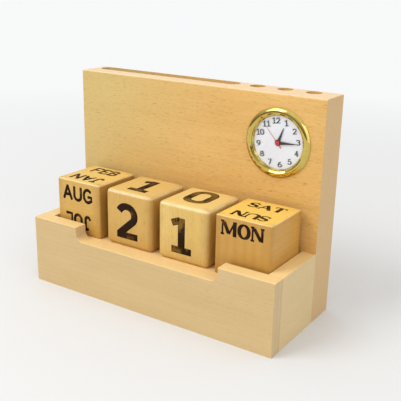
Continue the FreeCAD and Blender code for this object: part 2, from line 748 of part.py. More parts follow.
def build_clock_case():
    """Cup behind the bezel, open for the setting arbor and the battery hatch."""
    body = new_body("clock_case")
    profile = new_sketch(body, "XZ_Plane")
    draw_outline(profile, [
        (CASE_BORE, -CASE_INSIDE),
        (0, -CASE_INSIDE),
        (0, -CASE_END),
        (CASE_BORE, -CASE_END),
        (CASE_RADIUS, -CASE_END + S.case_wall),
        (CASE_RADIUS, 0),
        (CASE_BORE, 0),
    ])
    revolve(body, profile)
    holes = new_sketch(body, "XY_Plane", -CASE_INSIDE)
    draw_circle(holes, *SETTING_AXIS, S.setting_arbor + S.pivot_gap)
    draw_circle(holes, *BATTERY_AXIS, HATCH_RADIUS + S.seat_gap)
    pocket(body, holes, S.case_back)
    notch = new_sketch(body, "XY_Plane", -CASE_INSIDE)
    reach = HATCH_RADIUS + S.hatch_lug - S.lug_width / 2
    ends = [toward(S.hatch_turn + half, reach, BATTERY_AXIS) for half in (0.0, 180.0)]
    draw_bar(notch, ends[0], ends[1], S.lug_width / 2 + S.seat_gap)
    pocket(body, notch, S.case_back)
    place_clock(body)
    return body


def build_mounting_ring():
    """Ribbed ring that grips the bore of the block."""
    body = new_body("mounting_ring")
    outer = RING_BORE + S.ring_wall
    ring = new_sketch(body, "XY_Plane")
    draw_circle(ring, 0, 0, outer)
    draw_circle(ring, 0, 0, RING_BORE)
    pad(body, ring, S.ring_length)
    rib = new_sketch(body, "XY_Plane")
    draw_rectangle(rib, outer - S.ring_wall / 2, -S.rib_width / 2, RIB_TIP, S.rib_width / 2)
    ribs = pad(body, rib, S.ring_length)
    repeat_around(body, ribs, S.ring_ribs)
    place_clock(body, depth=S.bezel_skirt + S.seat_gap + S.ring_length)
    return body


def build_dial():
    """Dial with the hole for the hour pipe."""
    body = new_body("dial")
    disc = new_sketch(body, "XY_Plane")
    draw_circle(disc, 0, 0, CASE_BORE - S.seat_gap)
    draw_circle(disc, 0, 0, S.dial_hole)
    pad(body, disc, S.dial_thickness)
    place_clock(body, depth=DIAL_BACK)
    return body


def build_movement_holder():
    """Ring between the case and the main plate, with a ledge behind the plate."""
    body = new_body("movement_holder")
    profile = new_sketch(body, "XZ_Plane")
    outer = CASE_BORE - S.seat_gap
    front = -(DIAL_BACK + S.seat_gap)
    ledge_front = -(PLATE_BACK + S.seat_gap)
    ledge_back = ledge_front - S.ledge
    draw_outline(profile, [
        (outer, front),
        (HOLDER_BORE, front),
        (HOLDER_BORE, ledge_front),
        (HOLDER_BORE - S.ledge, ledge_front),
        (HOLDER_BORE - S.ledge, ledge_back),
        (HOLDER_BORE, ledge_back),
        (HOLDER_BORE, -BRIDGE_FRONT),
        (outer, -BRIDGE_FRONT),
    ])
    revolve(body, profile)
    place_clock(body)
    return body


def draw_pillars(sketch, radius):
    """Draw a circle at each pillar of the train bridge."""
    for pillar in PILLARS:
        draw_circle(sketch, *pillar, radius)


def draw_pivots(sketch, centre_radius):
    """Draw the holes for the arbors that a plate carries."""
    draw_circle(sketch, 0, 0, centre_radius + S.pivot_gap)
    draw_circle(sketch, *THIRD_AXIS, S.arbor_radius + S.pivot_gap)
    draw_circle(sketch, *FIFTH_AXIS, S.arbor_radius + S.pivot_gap)
    draw_circle(sketch, *ROTOR_AXIS, S.rotor_arbor + S.pivot_gap)
    draw_circle(sketch, *SETTING_AXIS, S.setting_arbor + S.pivot_gap)


def build_main_plate():
    """Plate that carries every arbor, with three pillars for the train bridge."""
    body = new_body("main_plate")
    disc = new_sketch(body, "XY_Plane")
    draw_circle(disc, 0, 0, HOLDER_BORE - S.seat_gap)
    pad(body, disc, S.plate_thickness)
    pillars = new_sketch(body, "XY_Plane")
    draw_pillars(pillars, S.pillar_radius)
    pad(body, pillars, BRIDGE_FRONT - PLATE_BACK, backwards=True)
    pivots = new_sketch(body, "XY_Plane", S.plate_thickness)
    draw_pivots(pivots, S.cannon_radius)
    pocket(body, pivots, S.plate_thickness)
    threads = new_sketch(body, "XY_Plane", S.screw_length - BRIDGE_FRONT + PLATE_BACK)
    draw_pillars(threads, S.screw_radius + S.seat_gap)
    pocket(body, threads, S.screw_length)
    place_clock(body, depth=PLATE_BACK)
    return body


def build_train_bridge():
    """Bridge behind the wheels, cut away around the battery."""
    body = new_body("train_bridge")
    disc = new_sketch(body, "XY_Plane")
    draw_circle(disc, 0, 0, S.bridge_radius)
    pad(body, disc, S.bridge_thickness)
    for pillar in PILLARS:
        ear = new_sketch(body, "XY_Plane")
        draw_bar(ear, (0, 0), pillar, S.ear_radius)
        pad(body, ear, S.bridge_thickness)
    holes = new_sketch(body, "XY_Plane", S.bridge_thickness)
    draw_pivots(holes, S.seconds_arbor)
    draw_pillars(holes, S.screw_radius + S.seat_gap)
    pocket(body, holes, S.bridge_thickness)
    room = new_sketch(body, "XY_Plane", S.bridge_thickness)
    draw_circle(room, *BATTERY_AXIS, S.battery_radius + S.level_gap)
    pocket(body, room, S.bridge_thickness)
    place_clock(body, depth=BRIDGE_BACK)
    return body


def build_battery():
    """Button cell: a can with a smaller cap towards the dial."""
    body = new_body("battery")
    profile = new_sketch(body, "XZ_Plane")
    draw_outline(profile, [
        (0, S.battery_height),
        (0, 0),
        (S.battery_radius - S.clip_thickness, 0),
        (S.battery_radius, S.clip_thickness),
        (S.battery_radius, S.battery_can),
        (S.battery_cap, S.battery_can),
        (S.battery_cap, S.battery_height),
    ])
    revolve(body, profile)
    front = PLATE_BACK + S.clip_thickness + S.seat_gap
    place_clock(body, *BATTERY_AXIS, front + S.battery_height)
    return body


def build_battery_clip():
    """Contact strip between the main plate and the battery."""
    body = new_body("battery_clip")
    strip = new_sketch(body, "XY_Plane")
    draw_bar(strip, (-S.clip_reach, 0), (S.clip_reach, 0), S.clip_end)
    pad(body, strip, S.clip_thickness)
    place_clock(body, *BATTERY_AXIS, PLATE_BACK + S.clip_thickness)
    return body


def build_battery_hatch():
    """Bayonet hatch with a coin slot behind the battery."""
    body = new_body("battery_hatch")
    back = CASE_END + S.knob_gap
    lug_front = CASE_INSIDE - S.seat_gap / 2 - S.lug_thickness
    battery_back = PLATE_BACK + S.clip_thickness + 2 * S.seat_gap + S.battery_height
    disc = new_sketch(body, "XY_Plane")
    draw_circle(disc, 0, 0, HATCH_RADIUS)
    pad(body, disc, back - lug_front)
    boss = new_sketch(body, "XY_Plane")
    draw_circle(boss, 0, 0, S.hatch_boss)
    pad(body, boss, back - battery_back)
    lugs = new_sketch(body, "XY_Plane", back - lug_front)
    reach = HATCH_RADIUS + S.hatch_lug - S.lug_width / 2
    draw_bar(lugs, (-reach, 0), (reach, 0), S.lug_width / 2)
    pad(body, lugs, S.lug_thickness, backwards=True)
    slot = new_sketch(body, "XY_Plane", S.coin_slot_depth)
    draw_bar(slot, (-S.coin_slot / 2, 0), (S.coin_slot / 2, 0), S.coin_slot_end)
    pocket(body, slot, S.coin_slot_depth)
    place_clock(body, *BATTERY_AXIS, back)
    return body


def build_circuit_board():
    """Board on the main plate, shaped as part of a ring, with the driver chip."""
    body = new_body("circuit_board")
    board = new_sketch(body, "XY_Plane")
    draw_outline(board, [
        toward(S.board_start, S.board_inside) + (-S.board_inside,),
        toward(S.board_start, S.board_outside),
        toward(S.board_end, S.board_outside) + (S.board_outside,),
        toward(S.board_end, S.board_inside),
    ])
    pad(body, board, S.board_thickness)
    chip = new_sketch(body, "XY_Plane")
    x, y = toward(S.chip_angle, S.chip_distance)
    half = S.chip_size / 2
    draw_rectangle(chip, x - half, y - half, x + half, y + half)
    pad(body, chip, S.chip_thickness, backwards=True)
    place_clock(body, depth=PLATE_BACK + S.board_thickness)
    return body


def lay_down(part, angle, distance, depth, turn):
    """Lay a part that was turned around its Z axis flat in the insert, pointing along turn."""
    place_clock(part, *toward(angle, distance), depth, turn)
    part.Placement = Placement(part.Placement.Base, part.Placement.Rotation * Rotation(Vector(0, 1, 0), 90))


def build_quartz_crystal():
    """Can of the quartz crystal with a rounded end, lying on the board."""
    body = new_body("quartz_crystal")
    profile = new_sketch(body, "XZ_Plane")
    half = S.crystal_length / 2
    shoulder = half - S.crystal_radius / 2
    draw_outline(profile, [
        (0, half),
        (0, -half),
        (S.crystal_radius, -half),
        (S.crystal_radius, shoulder),
        (S.crystal_radius / 2, half, S.crystal_radius / 2),
    ])
    revolve(body, profile)
    depth = PLATE_BACK + S.board_thickness + S.crystal_radius
    lay_down(body, S.crystal_angle, S.crystal_distance, depth, S.crystal_angle.number + 90.0)
    return body


CORE_DEPTH = STATOR_BACK + S.core_thickness / 2


def build_motor_coil():
    """Winding on a flanged bobbin, with a flat opening for its core."""
    body = new_body("motor_coil")
    profile = new_sketch(body, "XZ_Plane")
    half = S.coil_length / 2
    inner = half - S.flange_thickness
    flange = S.coil_radius + S.flange_rise
    draw_outline(profile, [
        (0, half),
        (0, -half),
        (flange, -half),
        (flange, -inner),
        (S.coil_radius, -inner),
        (S.coil_radius, inner),
        (flange, inner),
        (flange, half),
    ])
    revolve(body, profile)
    opening = new_sketch(body, "XY_Plane", half)
    thin = S.core_thickness / 2 + S.seat_gap
    wide = S.stator_arm + S.seat_gap
    draw_rectangle(opening, -thin, -wide, thin, wide)
    pocket(body, opening, S.coil_length)
    lay_down(body, S.coil_angle, S.coil_distance, CORE_DEPTH, S.coil_angle.number - 90.0)
    return body


def build_coil_core():
    """Flat core through the coil, whose ends lie on the stator."""
    body = new_body("coil_core")
    strip = new_sketch(body, "XY_Plane")
    half = S.core_length / 2
    draw_bar(strip, (-half, 0), (half, 0), S.stator_arm)
    pad(body, strip, S.core_thickness)
    centre = toward(S.coil_angle, S.coil_distance)
    place_clock(body, *centre, STATOR_BACK + S.core_thickness, S.coil_angle.number - 90.0)
    return body


def build_stator():
    """Stator plate: a ring around the magnet and two bent arms to the ends of the core."""
    body = new_body("stator")
    ring = new_sketch(body, "XY_Plane")
    hole = S.magnet_radius + S.air_gap
    draw_circle(ring, *ROTOR_AXIS, hole + S.stator_ring)
    pad(body, ring, S.stator_thickness)
    centre = toward(S.coil_angle, S.coil_distance)
    for side in (-90.0, 90.0):
        end = toward(S.coil_angle + side, S.core_length / 2, centre)
        elbow = toward(S.coil_angle + 180.0, S.stator_elbow, end)
        for start, stop in ((ROTOR_AXIS, elbow), (elbow, end)):
            arm = new_sketch(body, "XY_Plane")
            draw_bar(arm, start, stop, S.stator_arm)
            pad(body, arm, S.stator_thickness)
    opening = new_sketch(body, "XY_Plane", S.stator_thickness)
    draw_circle(opening, *ROTOR_AXIS, hole)
    pocket(body, opening, S.stator_thickness)
    place_clock(body, depth=STATOR_BACK)
    return body


def build_case_parts():
    """Build what stands still in the insert, and the hatch."""
    return [
        build_bezel(),
        build_lens(),
        build_clock_case(),
        build_mounting_ring(),
        build_dial(),
        build_movement_holder(),
        build_main_plate(),
        build_train_bridge(),
        build_battery(),
        build_battery_clip(),
        build_battery_hatch(),
        build_circuit_board(),
        build_quartz_crystal(),
        build_motor_coil(),
        build_coil_core(),
        build_stator(),
    ]


def involute(angle):
    """Involute function of an angle in radians."""
    return math.tan(angle) - angle


def tooth_outline(teeth, module, addendum, phase, steps):
    """Return the corners of a toothed wheel's outline, with one tooth centred on phase.

    Every flank is an involute from the base circle out and straight towards the centre below it.
    """
    pressure = math.radians(PRESSURE_ANGLE)
    pitch = module * teeth / 2
    base = pitch * math.cos(pressure)
    root = pitch - DEDENDUM * module
    tip = pitch + addendum * module
    half_tooth = math.pi / (2 * teeth) * (1 - BACKLASH) + involute(pressure)
    radii = [root] + [root + (tip - root) * (step / steps) for step in range(1, steps + 1)]
    flank = []
    for radius in radii:
        turn = math.acos(base / radius) if radius > base else 0.0
        flank.append((radius, half_tooth - involute(turn)))
    corners = []
    for tooth in range(teeth):
        middle = math.radians(phase) + 2 * math.pi * tooth / teeth
        for radius, half in flank:
            corners.append((radius, middle - half))
        for radius, half in reversed(flank):
            corners.append((radius, middle + half))
    return [Vector(radius * math.cos(turn), radius * math.sin(turn), 0) for radius, turn in corners]


def toothed(teeth, module, phase, front, thickness):
    """Return a toothed wheel or pinion whose front lies at a depth."""
    small = teeth <= CANNON_TEETH
    addendum = PINION_ADDENDUM if small else WHEEL_ADDENDUM
    corners = tooth_outline(teeth, module.number, addendum, phase, 2 if small else 1)
    disc = Part.Face(Part.makePolygon(corners + corners[:1])).extrude(Vector(0, 0, thickness.number))
    disc.translate(Vector(0, 0, -(front + thickness).number))
    return disc


def rod(radius, front, back):
    """Return a round rod on the wheel's axis between two depths."""
    length = (back - front).number
    return Part.makeCylinder(radius.number, length, Vector(0, 0, -as_size(back).number))


def wheel(teeth, module, phase, level):
    """Return a toothed wheel at its level."""
    return toothed(teeth, module, phase, level, S.wheel_thickness)


def pinion(teeth, module, phase, level):
    """Return a pinion that stands a little past the wheel it drives, on both sides."""
    return toothed(teeth, module, phase, level - S.pinion_extra, S.wheel_thickness + 2 * S.pinion_extra)


def add_wheel(label, shape, axis=(0, 0)):
    """Add a finished wheel to the document on its axis."""
    feature = DOCUMENT.addObject("Part::Feature", label)
    feature.Label = label
    feature.Shape = shape.removeSplitter()
    place_clock(feature, *axis)
    return feature


def meshed_phase(teeth, driver_teeth, driver_phase, direction):
    """Return the phase in degrees that puts a gap of this gear over a tooth of its driver."""
    lead = (driver_phase - direction) * driver_teeth / teeth
    return direction + 180.0 + 180.0 / teeth - lead


MINUTE_MODULE = S.setting_reach / ((CANNON_TEETH + MINUTE_WHEEL_TEETH) / 2)
HOUR_MODULE = S.setting_reach / ((MINUTE_PINION_TEETH + HOUR_WHEEL_TEETH) / 2)
DOWN = -90.0
CENTRE_MODULE = S.third_module * (
    (SECONDS_PINION_TEETH + THIRD_WHEEL_TEETH) / (THIRD_PINION_TEETH + CENTRE_WHEEL_TEETH)
)


def build_rotor():
    """Magnet and pinion on the rotor's arbor."""
    fifth = meshed_phase(FIFTH_PINION_TEETH, SECONDS_WHEEL_TEETH, 0.0, S.fifth_angle.number)
    phase = meshed_phase(ROTOR_TEETH, FIFTH_WHEEL_TEETH, fifth, S.rotor_angle.number)
    magnet_front = CENTRE_LEVEL + LEVEL - S.pinion_extra
    shape = rod(S.rotor_arbor, PLATE_FRONT, BRIDGE_BACK)
    shape = shape.fuse(rod(S.magnet_radius, magnet_front, magnet_front + S.magnet_length))
    shape = shape.fuse(pinion(ROTOR_TEETH, S.rotor_module, phase, FIFTH_LEVEL))
    return add_wheel("rotor", shape, ROTOR_AXIS)


def build_fifth_wheel():
    """Wheel turned by the rotor, with the pinion that turns the seconds wheel."""
    phase = meshed_phase(FIFTH_PINION_TEETH, SECONDS_WHEEL_TEETH, 0.0, S.fifth_angle.number)
    shape = rod(S.arbor_radius, PLATE_FRONT, BRIDGE_BACK)
    shape = shape.fuse(wheel(FIFTH_WHEEL_TEETH, S.rotor_module, phase, FIFTH_LEVEL))
    shape = shape.fuse(pinion(FIFTH_PINION_TEETH, S.fifth_module, phase, SECONDS_LEVEL))
    return add_wheel("fifth_wheel", shape, FIFTH_AXIS)


def build_seconds_wheel():
    """Seconds wheel with its pinion, on the arbor that carries the second hand."""
    hand_back = S.hand_front + S.hand_thickness
    shape = rod(S.seconds_arbor, hand_back, BRIDGE_BACK)
    shape = shape.fuse(wheel(SECONDS_WHEEL_TEETH, S.fifth_module, 0.0, SECONDS_LEVEL))
    shape = shape.fuse(pinion(SECONDS_PINION_TEETH, S.third_module, 0.0, THIRD_LEVEL))
    return add_wheel("seconds_wheel", shape)


def build_third_wheel():
    """Third wheel with the pinion that turns the centre wheel."""
    direction = S.third_angle.number
    phase = meshed_phase(THIRD_WHEEL_TEETH, SECONDS_PINION_TEETH, 0.0, direction)
    shape = rod(S.arbor_radius, PLATE_FRONT, BRIDGE_BACK)
    shape = shape.fuse(wheel(THIRD_WHEEL_TEETH, S.third_module, phase, THIRD_LEVEL))
    shape = shape.fuse(pinion(THIRD_PINION_TEETH, CENTRE_MODULE, 0.0, CENTRE_LEVEL))
    return add_wheel("third_wheel", shape, THIRD_AXIS)


def build_centre_wheel():
    """Centre wheel, which turns the cannon pinion through friction."""
    direction = S.third_angle.number + 180.0
    phase = meshed_phase(CENTRE_WHEEL_TEETH, THIRD_PINION_TEETH, 0.0, direction)
    shape = wheel(CENTRE_WHEEL_TEETH, CENTRE_MODULE, phase, CENTRE_LEVEL)
    bore = S.cannon_radius + S.pivot_gap
    shape = shape.cut(rod(bore, CENTRE_LEVEL, CENTRE_LEVEL + S.wheel_thickness))
    return add_wheel("centre_wheel", shape)


def build_cannon_pinion():
    """Tube that carries the minute hand, with the pinion of the motion work and a rear collar."""
    collar = CENTRE_LEVEL + S.wheel_thickness + S.seat_gap
    end = collar + 2 * S.seat_gap
    front = S.hand_front + S.hand_pitch
    shape = rod(S.cannon_radius, front, end)
    shape = shape.fuse(rod(S.cannon_collar, collar, end))
    shape = shape.fuse(pinion(CANNON_TEETH, MINUTE_MODULE, 0.0, SETTING_LEVEL))
    shape = shape.cut(rod(S.cannon_bore, front, end))
    return add_wheel("cannon_pinion", shape)


def build_minute_wheel():
    """Minute wheel on the setting arbor, with the pinion that turns the hour wheel."""
    phase = meshed_phase(MINUTE_WHEEL_TEETH, CANNON_TEETH, 0.0, DOWN)
    shape = rod(S.setting_arbor, HOUR_LEVEL - S.pinion_extra, CASE_END + S.knob_gap + S.knob_thickness)
    shape = shape.fuse(wheel(MINUTE_WHEEL_TEETH, MINUTE_MODULE, phase, SETTING_LEVEL))
    shape = shape.fuse(pinion(MINUTE_PINION_TEETH, HOUR_MODULE, 0.0, HOUR_LEVEL))
    return add_wheel("minute_wheel", shape, SETTING_AXIS)


def build_hour_wheel():
    """Hour wheel with the pipe that carries the hour hand."""
    phase = meshed_phase(HOUR_WHEEL_TEETH, MINUTE_PINION_TEETH, 0.0, -DOWN)
    back = HOUR_LEVEL + S.wheel_thickness
    shape = wheel(HOUR_WHEEL_TEETH, HOUR_MODULE, phase, HOUR_LEVEL)
    shape = shape.fuse(rod(S.hour_pipe, HOUR_HAND, back))
    shape = shape.cut(rod(S.hour_bore, HOUR_HAND, back))
    return add_wheel("hour_wheel", shape)


def build_setting_knob():
    """Knob on the end of the setting arbor, with grip notches."""
    body = new_body("setting_knob")
    disc = new_sketch(body, "XY_Plane")
    draw_circle(disc, 0, 0, S.knob_radius)
    draw_circle(disc, 0, 0, S.setting_arbor + S.pivot_gap / 2)
    pad(body, disc, S.knob_thickness)
    notch = new_sketch(body, "XY_Plane", S.knob_thickness)
    root, rim = S.knob_radius - S.notch_depth, S.knob_radius + S.notch_depth
    draw_outline(notch, [(root, 0), (rim, -2 * S.notch_depth), (rim, 2 * S.notch_depth)])
    notches = pocket(body, notch, S.knob_thickness)
    repeat_around(body, notches, S.knob_notches)
    place_clock(body, *SETTING_AXIS, CASE_END + S.knob_gap + S.knob_thickness)
    return body


def build_hand(label, depth, length, hub, bore, angle):
    """Tapered hand: narrow at its hub, widest a little way out and pointed at its tip."""
    body = new_body(label)
    blade = new_sketch(body, "XY_Plane")
    widest = S.hand_width / 2
    draw_outline(blade, [
        (S.hand_tip, length),
        (-S.hand_tip, length),
        (-widest, length * S.hand_belly),
        (-widest / 2, 0),
        (widest / 2, 0),
        (widest, length * S.hand_belly),
    ])
    pad(body, blade, S.hand_thickness)
    disc = new_sketch(body, "XY_Plane")
    draw_circle(disc, 0, 0, hub)
    pad(body, disc, S.hand_thickness)
    hole = new_sketch(body, "XY_Plane", S.hand_thickness)
    draw_circle(hole, 0, 0, bore + S.pivot_gap / 2)
    pocket(body, hole, S.hand_thickness)
    place_clock(body, 0, 0, depth + S.hand_thickness, -angle.number)
    return body


def build_second_hand():
    """Thin hand with a short tail, a round hub and a collar around its arbor."""
    body = new_body("second_hand")
    blade = new_sketch(body, "XY_Plane")
    thin = S.hand_tip
    draw_outline(blade, [
        (thin / 2, S.second_hand_length),
        (-thin / 2, S.second_hand_length),
        (-thin, 0),
        (-thin * 2, -S.second_hand_tail),
        (thin * 2, -S.second_hand_tail),
        (thin, 0),
    ])
    pad(body, blade, S.hand_thickness)
    disc = new_sketch(body, "XY_Plane")
    draw_circle(disc, 0, 0, S.second_hub)
    pad(body, disc, S.hand_thickness)
    collar = new_sketch(body, "XY_Plane")
    draw_circle(collar, 0, 0, S.cannon_radius)
    draw_circle(collar, 0, 0, S.seconds_arbor + S.pivot_gap / 2)
    pad(body, collar, S.hand_pitch - S.hand_thickness - S.seat_gap, backwards=True)
    depth = S.hand_front + S.hand_thickness
    place_clock(body, 0, 0, depth, -S.second_hand_angle.number)
    return body


def build_bridge_screws():
    """Three screws that hold the train bridge on its pillars."""
    screws = []
    head = S.head_height.number
    back = BRIDGE_BACK.number + head
    shank = (S.screw_length - 2 * S.seat_gap + S.head_height + S.bridge_thickness).number
    for x, y in PILLARS:
        foot = Vector(x.number, y.number, -back)
        screw = Part.makeCylinder(S.screw_radius.number, shank, foot)
        screws.append(screw.fuse(Part.makeCylinder(S.screw_head.number, head, foot)))
    feature = DOCUMENT.addObject("Part::Feature", "bridge_screws")
    feature.Label = "bridge_screws"
    feature.Shape = Part.makeCompound(screws)
    place_clock(feature)
    return feature


def build_moving_parts():
    """Build the wheels, the hands and the setting knob."""
    return [
        build_rotor(),
        build_fifth_wheel(),
        build_seconds_wheel(),
        build_third_wheel(),
        build_centre_wheel(),
        build_cannon_pinion(),
        build_minute_wheel(),
        build_hour_wheel(),
        build_setting_knob(),
        build_hand("hour_hand", HOUR_HAND, S.hour_hand_length, S.hour_hub, S.hour_pipe, S.hour_hand_angle),
        build_hand(
            "minute_hand", S.hand_front + S.hand_pitch, S.minute_hand_length, S.minute_hub,
            S.cannon_radius, S.minute_hand_angle,
        ),
        build_second_hand(),
        build_bridge_screws(),
    ]


def write_parts(parts):
    """Check every sub-part and write it to its own file."""
    DOCUMENT.recompute()
    for item in DOCUMENT.Objects:
        if "Invalid" in item.State or "Error" in item.State:
            raise RuntimeError("{} has an error: {}".format(item.Label, item.State))
    os.makedirs("parts", exist_ok=True)
    for part in parts:
        if part.Shape.isNull() or not part.Shape.isValid():
            raise RuntimeError("{} has no valid shape".format(part.Label))
        part.Shape.exportStep("parts/{}.step".format(part.Label))


write_parts(build_wood() + build_case_parts() + build_moving_parts())
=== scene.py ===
"""Desk clock with calendar: finishes, lettering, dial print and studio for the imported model."""
import logging
from dataclasses import dataclass
from enum import Enum
from functools import cache
from math import cos, hypot, pi, radians, sin

import bpy
from bpy.types import Material, Node, NodeSocket as Socket, NodeTree, Object
from mathutils import Matrix, Vector


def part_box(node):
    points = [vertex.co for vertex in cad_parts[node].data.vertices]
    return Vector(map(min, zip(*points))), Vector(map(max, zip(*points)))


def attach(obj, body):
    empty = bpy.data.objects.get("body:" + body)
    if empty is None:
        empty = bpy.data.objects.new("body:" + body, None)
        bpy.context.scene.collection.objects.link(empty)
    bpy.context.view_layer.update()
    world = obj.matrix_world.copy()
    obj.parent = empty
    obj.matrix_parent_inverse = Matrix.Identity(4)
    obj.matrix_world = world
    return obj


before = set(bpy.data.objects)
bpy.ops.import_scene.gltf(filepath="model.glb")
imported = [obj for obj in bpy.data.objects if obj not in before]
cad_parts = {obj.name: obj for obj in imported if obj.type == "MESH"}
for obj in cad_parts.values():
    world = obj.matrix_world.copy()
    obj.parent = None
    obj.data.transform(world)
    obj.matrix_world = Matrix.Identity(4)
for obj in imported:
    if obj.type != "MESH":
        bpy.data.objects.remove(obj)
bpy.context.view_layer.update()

LOG = logging.getLogger("desk_clock")
MM = 0.001
MID_NOISE = (0.3, 0.7)
WIDE_NOISE = (0.2, 0.8)
UNEVEN = (0.35, 0.7)
Pair = tuple[float, float]
Triple = tuple[float, float, float]
Colour = Triple
Points = tuple[Pair, ...]
Inked = list[Triple]


def srgb(red: int, green: int, blue: int) -> Colour:
    """Return a screen colour as linear values."""
    return tuple(((c / 255 + 0.055) / 1.055) ** 2.4 if c > 10 else c / 3294.6 for c in (red, green, blue))


def shaded(values: tuple[float, ...], share: float) -> tuple[float, ...]:
    """Return values, such as a colour's, each multiplied by a share."""
    return tuple(value * share for value in values)


def box(node: str) -> tuple[Vector, Vector]:
    """Return the middle and the half size of a CAD node's box."""
    low, high = (Vector(corner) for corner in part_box(node))
    return (low + high) / 2, (high - low) / 2


def switch(mode: str) -> None:
    """Switch the active piece to another mode."""
    bpy.ops.object.mode_set(mode=mode)


def deselect() -> None:
    """Go to object mode with nothing selected."""
    if bpy.context.object and bpy.context.object.mode != "OBJECT":
        switch("OBJECT")
    bpy.ops.object.select_all(action="DESELECT")


def select(*pieces: Object) -> None:
    """Select pieces alone and make the first one active.

    Args:
        pieces: the pieces.
    """
    deselect()
    for piece in pieces:
        piece.select_set(True)
    bpy.context.view_layer.objects.active = pieces[0]


def dress(piece: Object, material: Material) -> None:
    """Give a piece one material all over.

    Args:
        piece: the piece.
        material: its only material.
    """
    if not piece.material_slots:
        piece.data.materials.append(material)
    for slot in piece.material_slots:
        slot.material = material


class NodePlan:
    """A node tree with short calls to add and join nodes. Lengths are in millimetres."""

    def __init__(self, tree: NodeTree) -> None:
        """Work on a tree and give it its coordinates."""
        self.tree = tree
        self.coordinates = self.add("ShaderNodeTexCoord").outputs

    def add(self, kind: str, **settings: object) -> Node:
        """Add a node.

        Args:
            kind: its type.
            settings: its properties.

        Returns:
            The node.
        """
        node = self.tree.nodes.new(kind)
        for name, value in settings.items():
            setattr(node, name, value)
        return node

    def feed(self, target: Socket, value: object) -> None:
        """Join a socket to another one, or set it to a value.

        Args:
            target: the input.
            value: a socket, a number or three numbers.
        """
        if isinstance(value, Socket):
            self.tree.links.new(value, target)
        elif target.type == "RGBA":
            target.default_value = (*value, 1.0)
        else:
            target.default_value = value

    def fill(self, node: Node, **inputs: object) -> Node:
        """Feed inputs of a node.

        Args:
            node: the node.
            inputs: what each input gets, with an underscore for a space in its name.

        Returns:
            The node.
        """
        for name, value in inputs.items():
            self.feed(node.inputs[name.replace("_", " ")], value)
        return node

    def split(self, vector: Socket) -> tuple[Socket, ...]:
        """Return the X, Y and Z of a vector."""
        return tuple(self.fill(self.add("ShaderNodeSeparateXYZ"), Vector=vector).outputs)

    def facing(self) -> tuple[Socket, ...]:
        """Return the X, Y and Z of the surface's normal."""
        return self.split(self.coordinates["Normal"])

    def turned(self, vector: Socket, turn: Triple) -> Socket:
        """Return a vector turned by degrees about each axis."""
        angles = tuple(radians(angle) for angle in turn)
        return self.fill(self.add("ShaderNodeMapping"), Vector=vector, Rotation=angles).outputs["Vector"]

    def place(self, per_mm: Triple, turn: Triple = (0, 0, 0), shift: Triple = (0, 0, 0)) -> Socket:
        """Return object coordinates, turned, then scaled by so much per millimetre.

        Args:
            per_mm: scale along each turned axis.
            turn: turn about each axis in degrees.
            shift: offset of the pattern.

        Returns:
            The vector socket.
        """
        vector = self.turned(self.coordinates["Object"], turn)
        scale = tuple(value / MM for value in per_mm)
        node = self.fill(self.add("ShaderNodeMapping"), Vector=vector, Scale=scale, Location=shift)
        return node.outputs["Vector"]

    def noise(self, place: Socket, detail: float = 2.0, rough: float = 0.5, warp: float = 0.0) -> Socket:
        """Return smooth noise at a place."""
        node = self.fill(self.add("ShaderNodeTexNoise"), Vector=place, Scale=1.0)
        return self.fill(node, Detail=detail, Roughness=rough, Distortion=warp).outputs["Fac"]

    def waves(self, place: Socket, warp: float, detail: float = 2.0) -> Socket:
        """Return warped bands that follow one another along Y."""
        node = self.fill(self.add("ShaderNodeTexWave", bands_direction="Y"), Vector=place, Scale=1.0)
        return self.fill(node, Distortion=warp, Detail=detail, Detail_Scale=0.6).outputs["Fac"]

    def level(self, value: Socket, low: float, high: float, to: tuple = (0.0, 1.0),
              kind: str = "LINEAR") -> Socket:
        """Return a value spread from one range to another, held at its ends.

        Args:
            value: the value.
            low: start of its range.
            high: end of its range.
            to: the new range, of numbers or sockets.
            kind: how the values between follow.

        Returns:
            The new value.
        """
        node = self.add("ShaderNodeMapRange", interpolation_type=kind)
        self.fill(node, Value=value, From_Min=low, From_Max=high, To_Min=to[0], To_Max=to[1])
        return node.outputs["Result"]

    def maths(self, operation: str, *values: object) -> Socket:
        """Return the result of an operation on two or more values, taken one after another.

        Args:
            operation: the name of the operation.
            values: sockets or numbers.

        Returns:
            The result.
        """
        result = values[0]
        for value in values[1:]:
            node = self.add("ShaderNodeMath", operation=operation)
            self.feed(node.inputs[0], result)
            self.feed(node.inputs[1], value)
            result = node.outputs[0]
        return result

    def absolute(self, value: Socket) -> Socket:
        """Return a value without its sign."""
        return self.maths("ABSOLUTE", value, 0.0)

    def blend(self, amount: object, first: object, second: object) -> Socket:
        """Return a mix of two colours."""
        node = self.add("ShaderNodeMix", data_type="RGBA")
        return self.fill(node, Factor=amount, A=first, B=second).outputs["Result"]


class SurfacePlan(NodePlan):
    """The node tree of a new material."""

    def __init__(self, name: str) -> None:
        """Start a material.

        Args:
            name: the material's name.
        """
        self.material = bpy.data.materials.new(name)
        self.material.use_nodes = True
        super().__init__(self.material.node_tree)
        self.shader = self.tree.nodes["Principled BSDF"]

    def set(self, **inputs: object) -> None:
        """Feed inputs of the shader, with an underscore for a space in a name."""
        self.fill(self.shader, **inputs)

    def bump(self, height: Socket, strength: float, distance_mm: float) -> None:
        """Give the shader a bump from a height."""
        node = self.fill(self.add("ShaderNodeBump"), Strength=strength, Distance=distance_mm * MM)
        self.set(Normal=self.fill(node, Height=height).outputs["Normal"])


class Grain(Enum):
    """Which way the fibres of a piece run, as the turn that brings them onto X."""

    ACROSS = (0.0, 0.0, 0.0)
    DEEP = (0.0, 0.0, -90.0)
    UPRIGHT = (0.0, 90.0, 0.0)


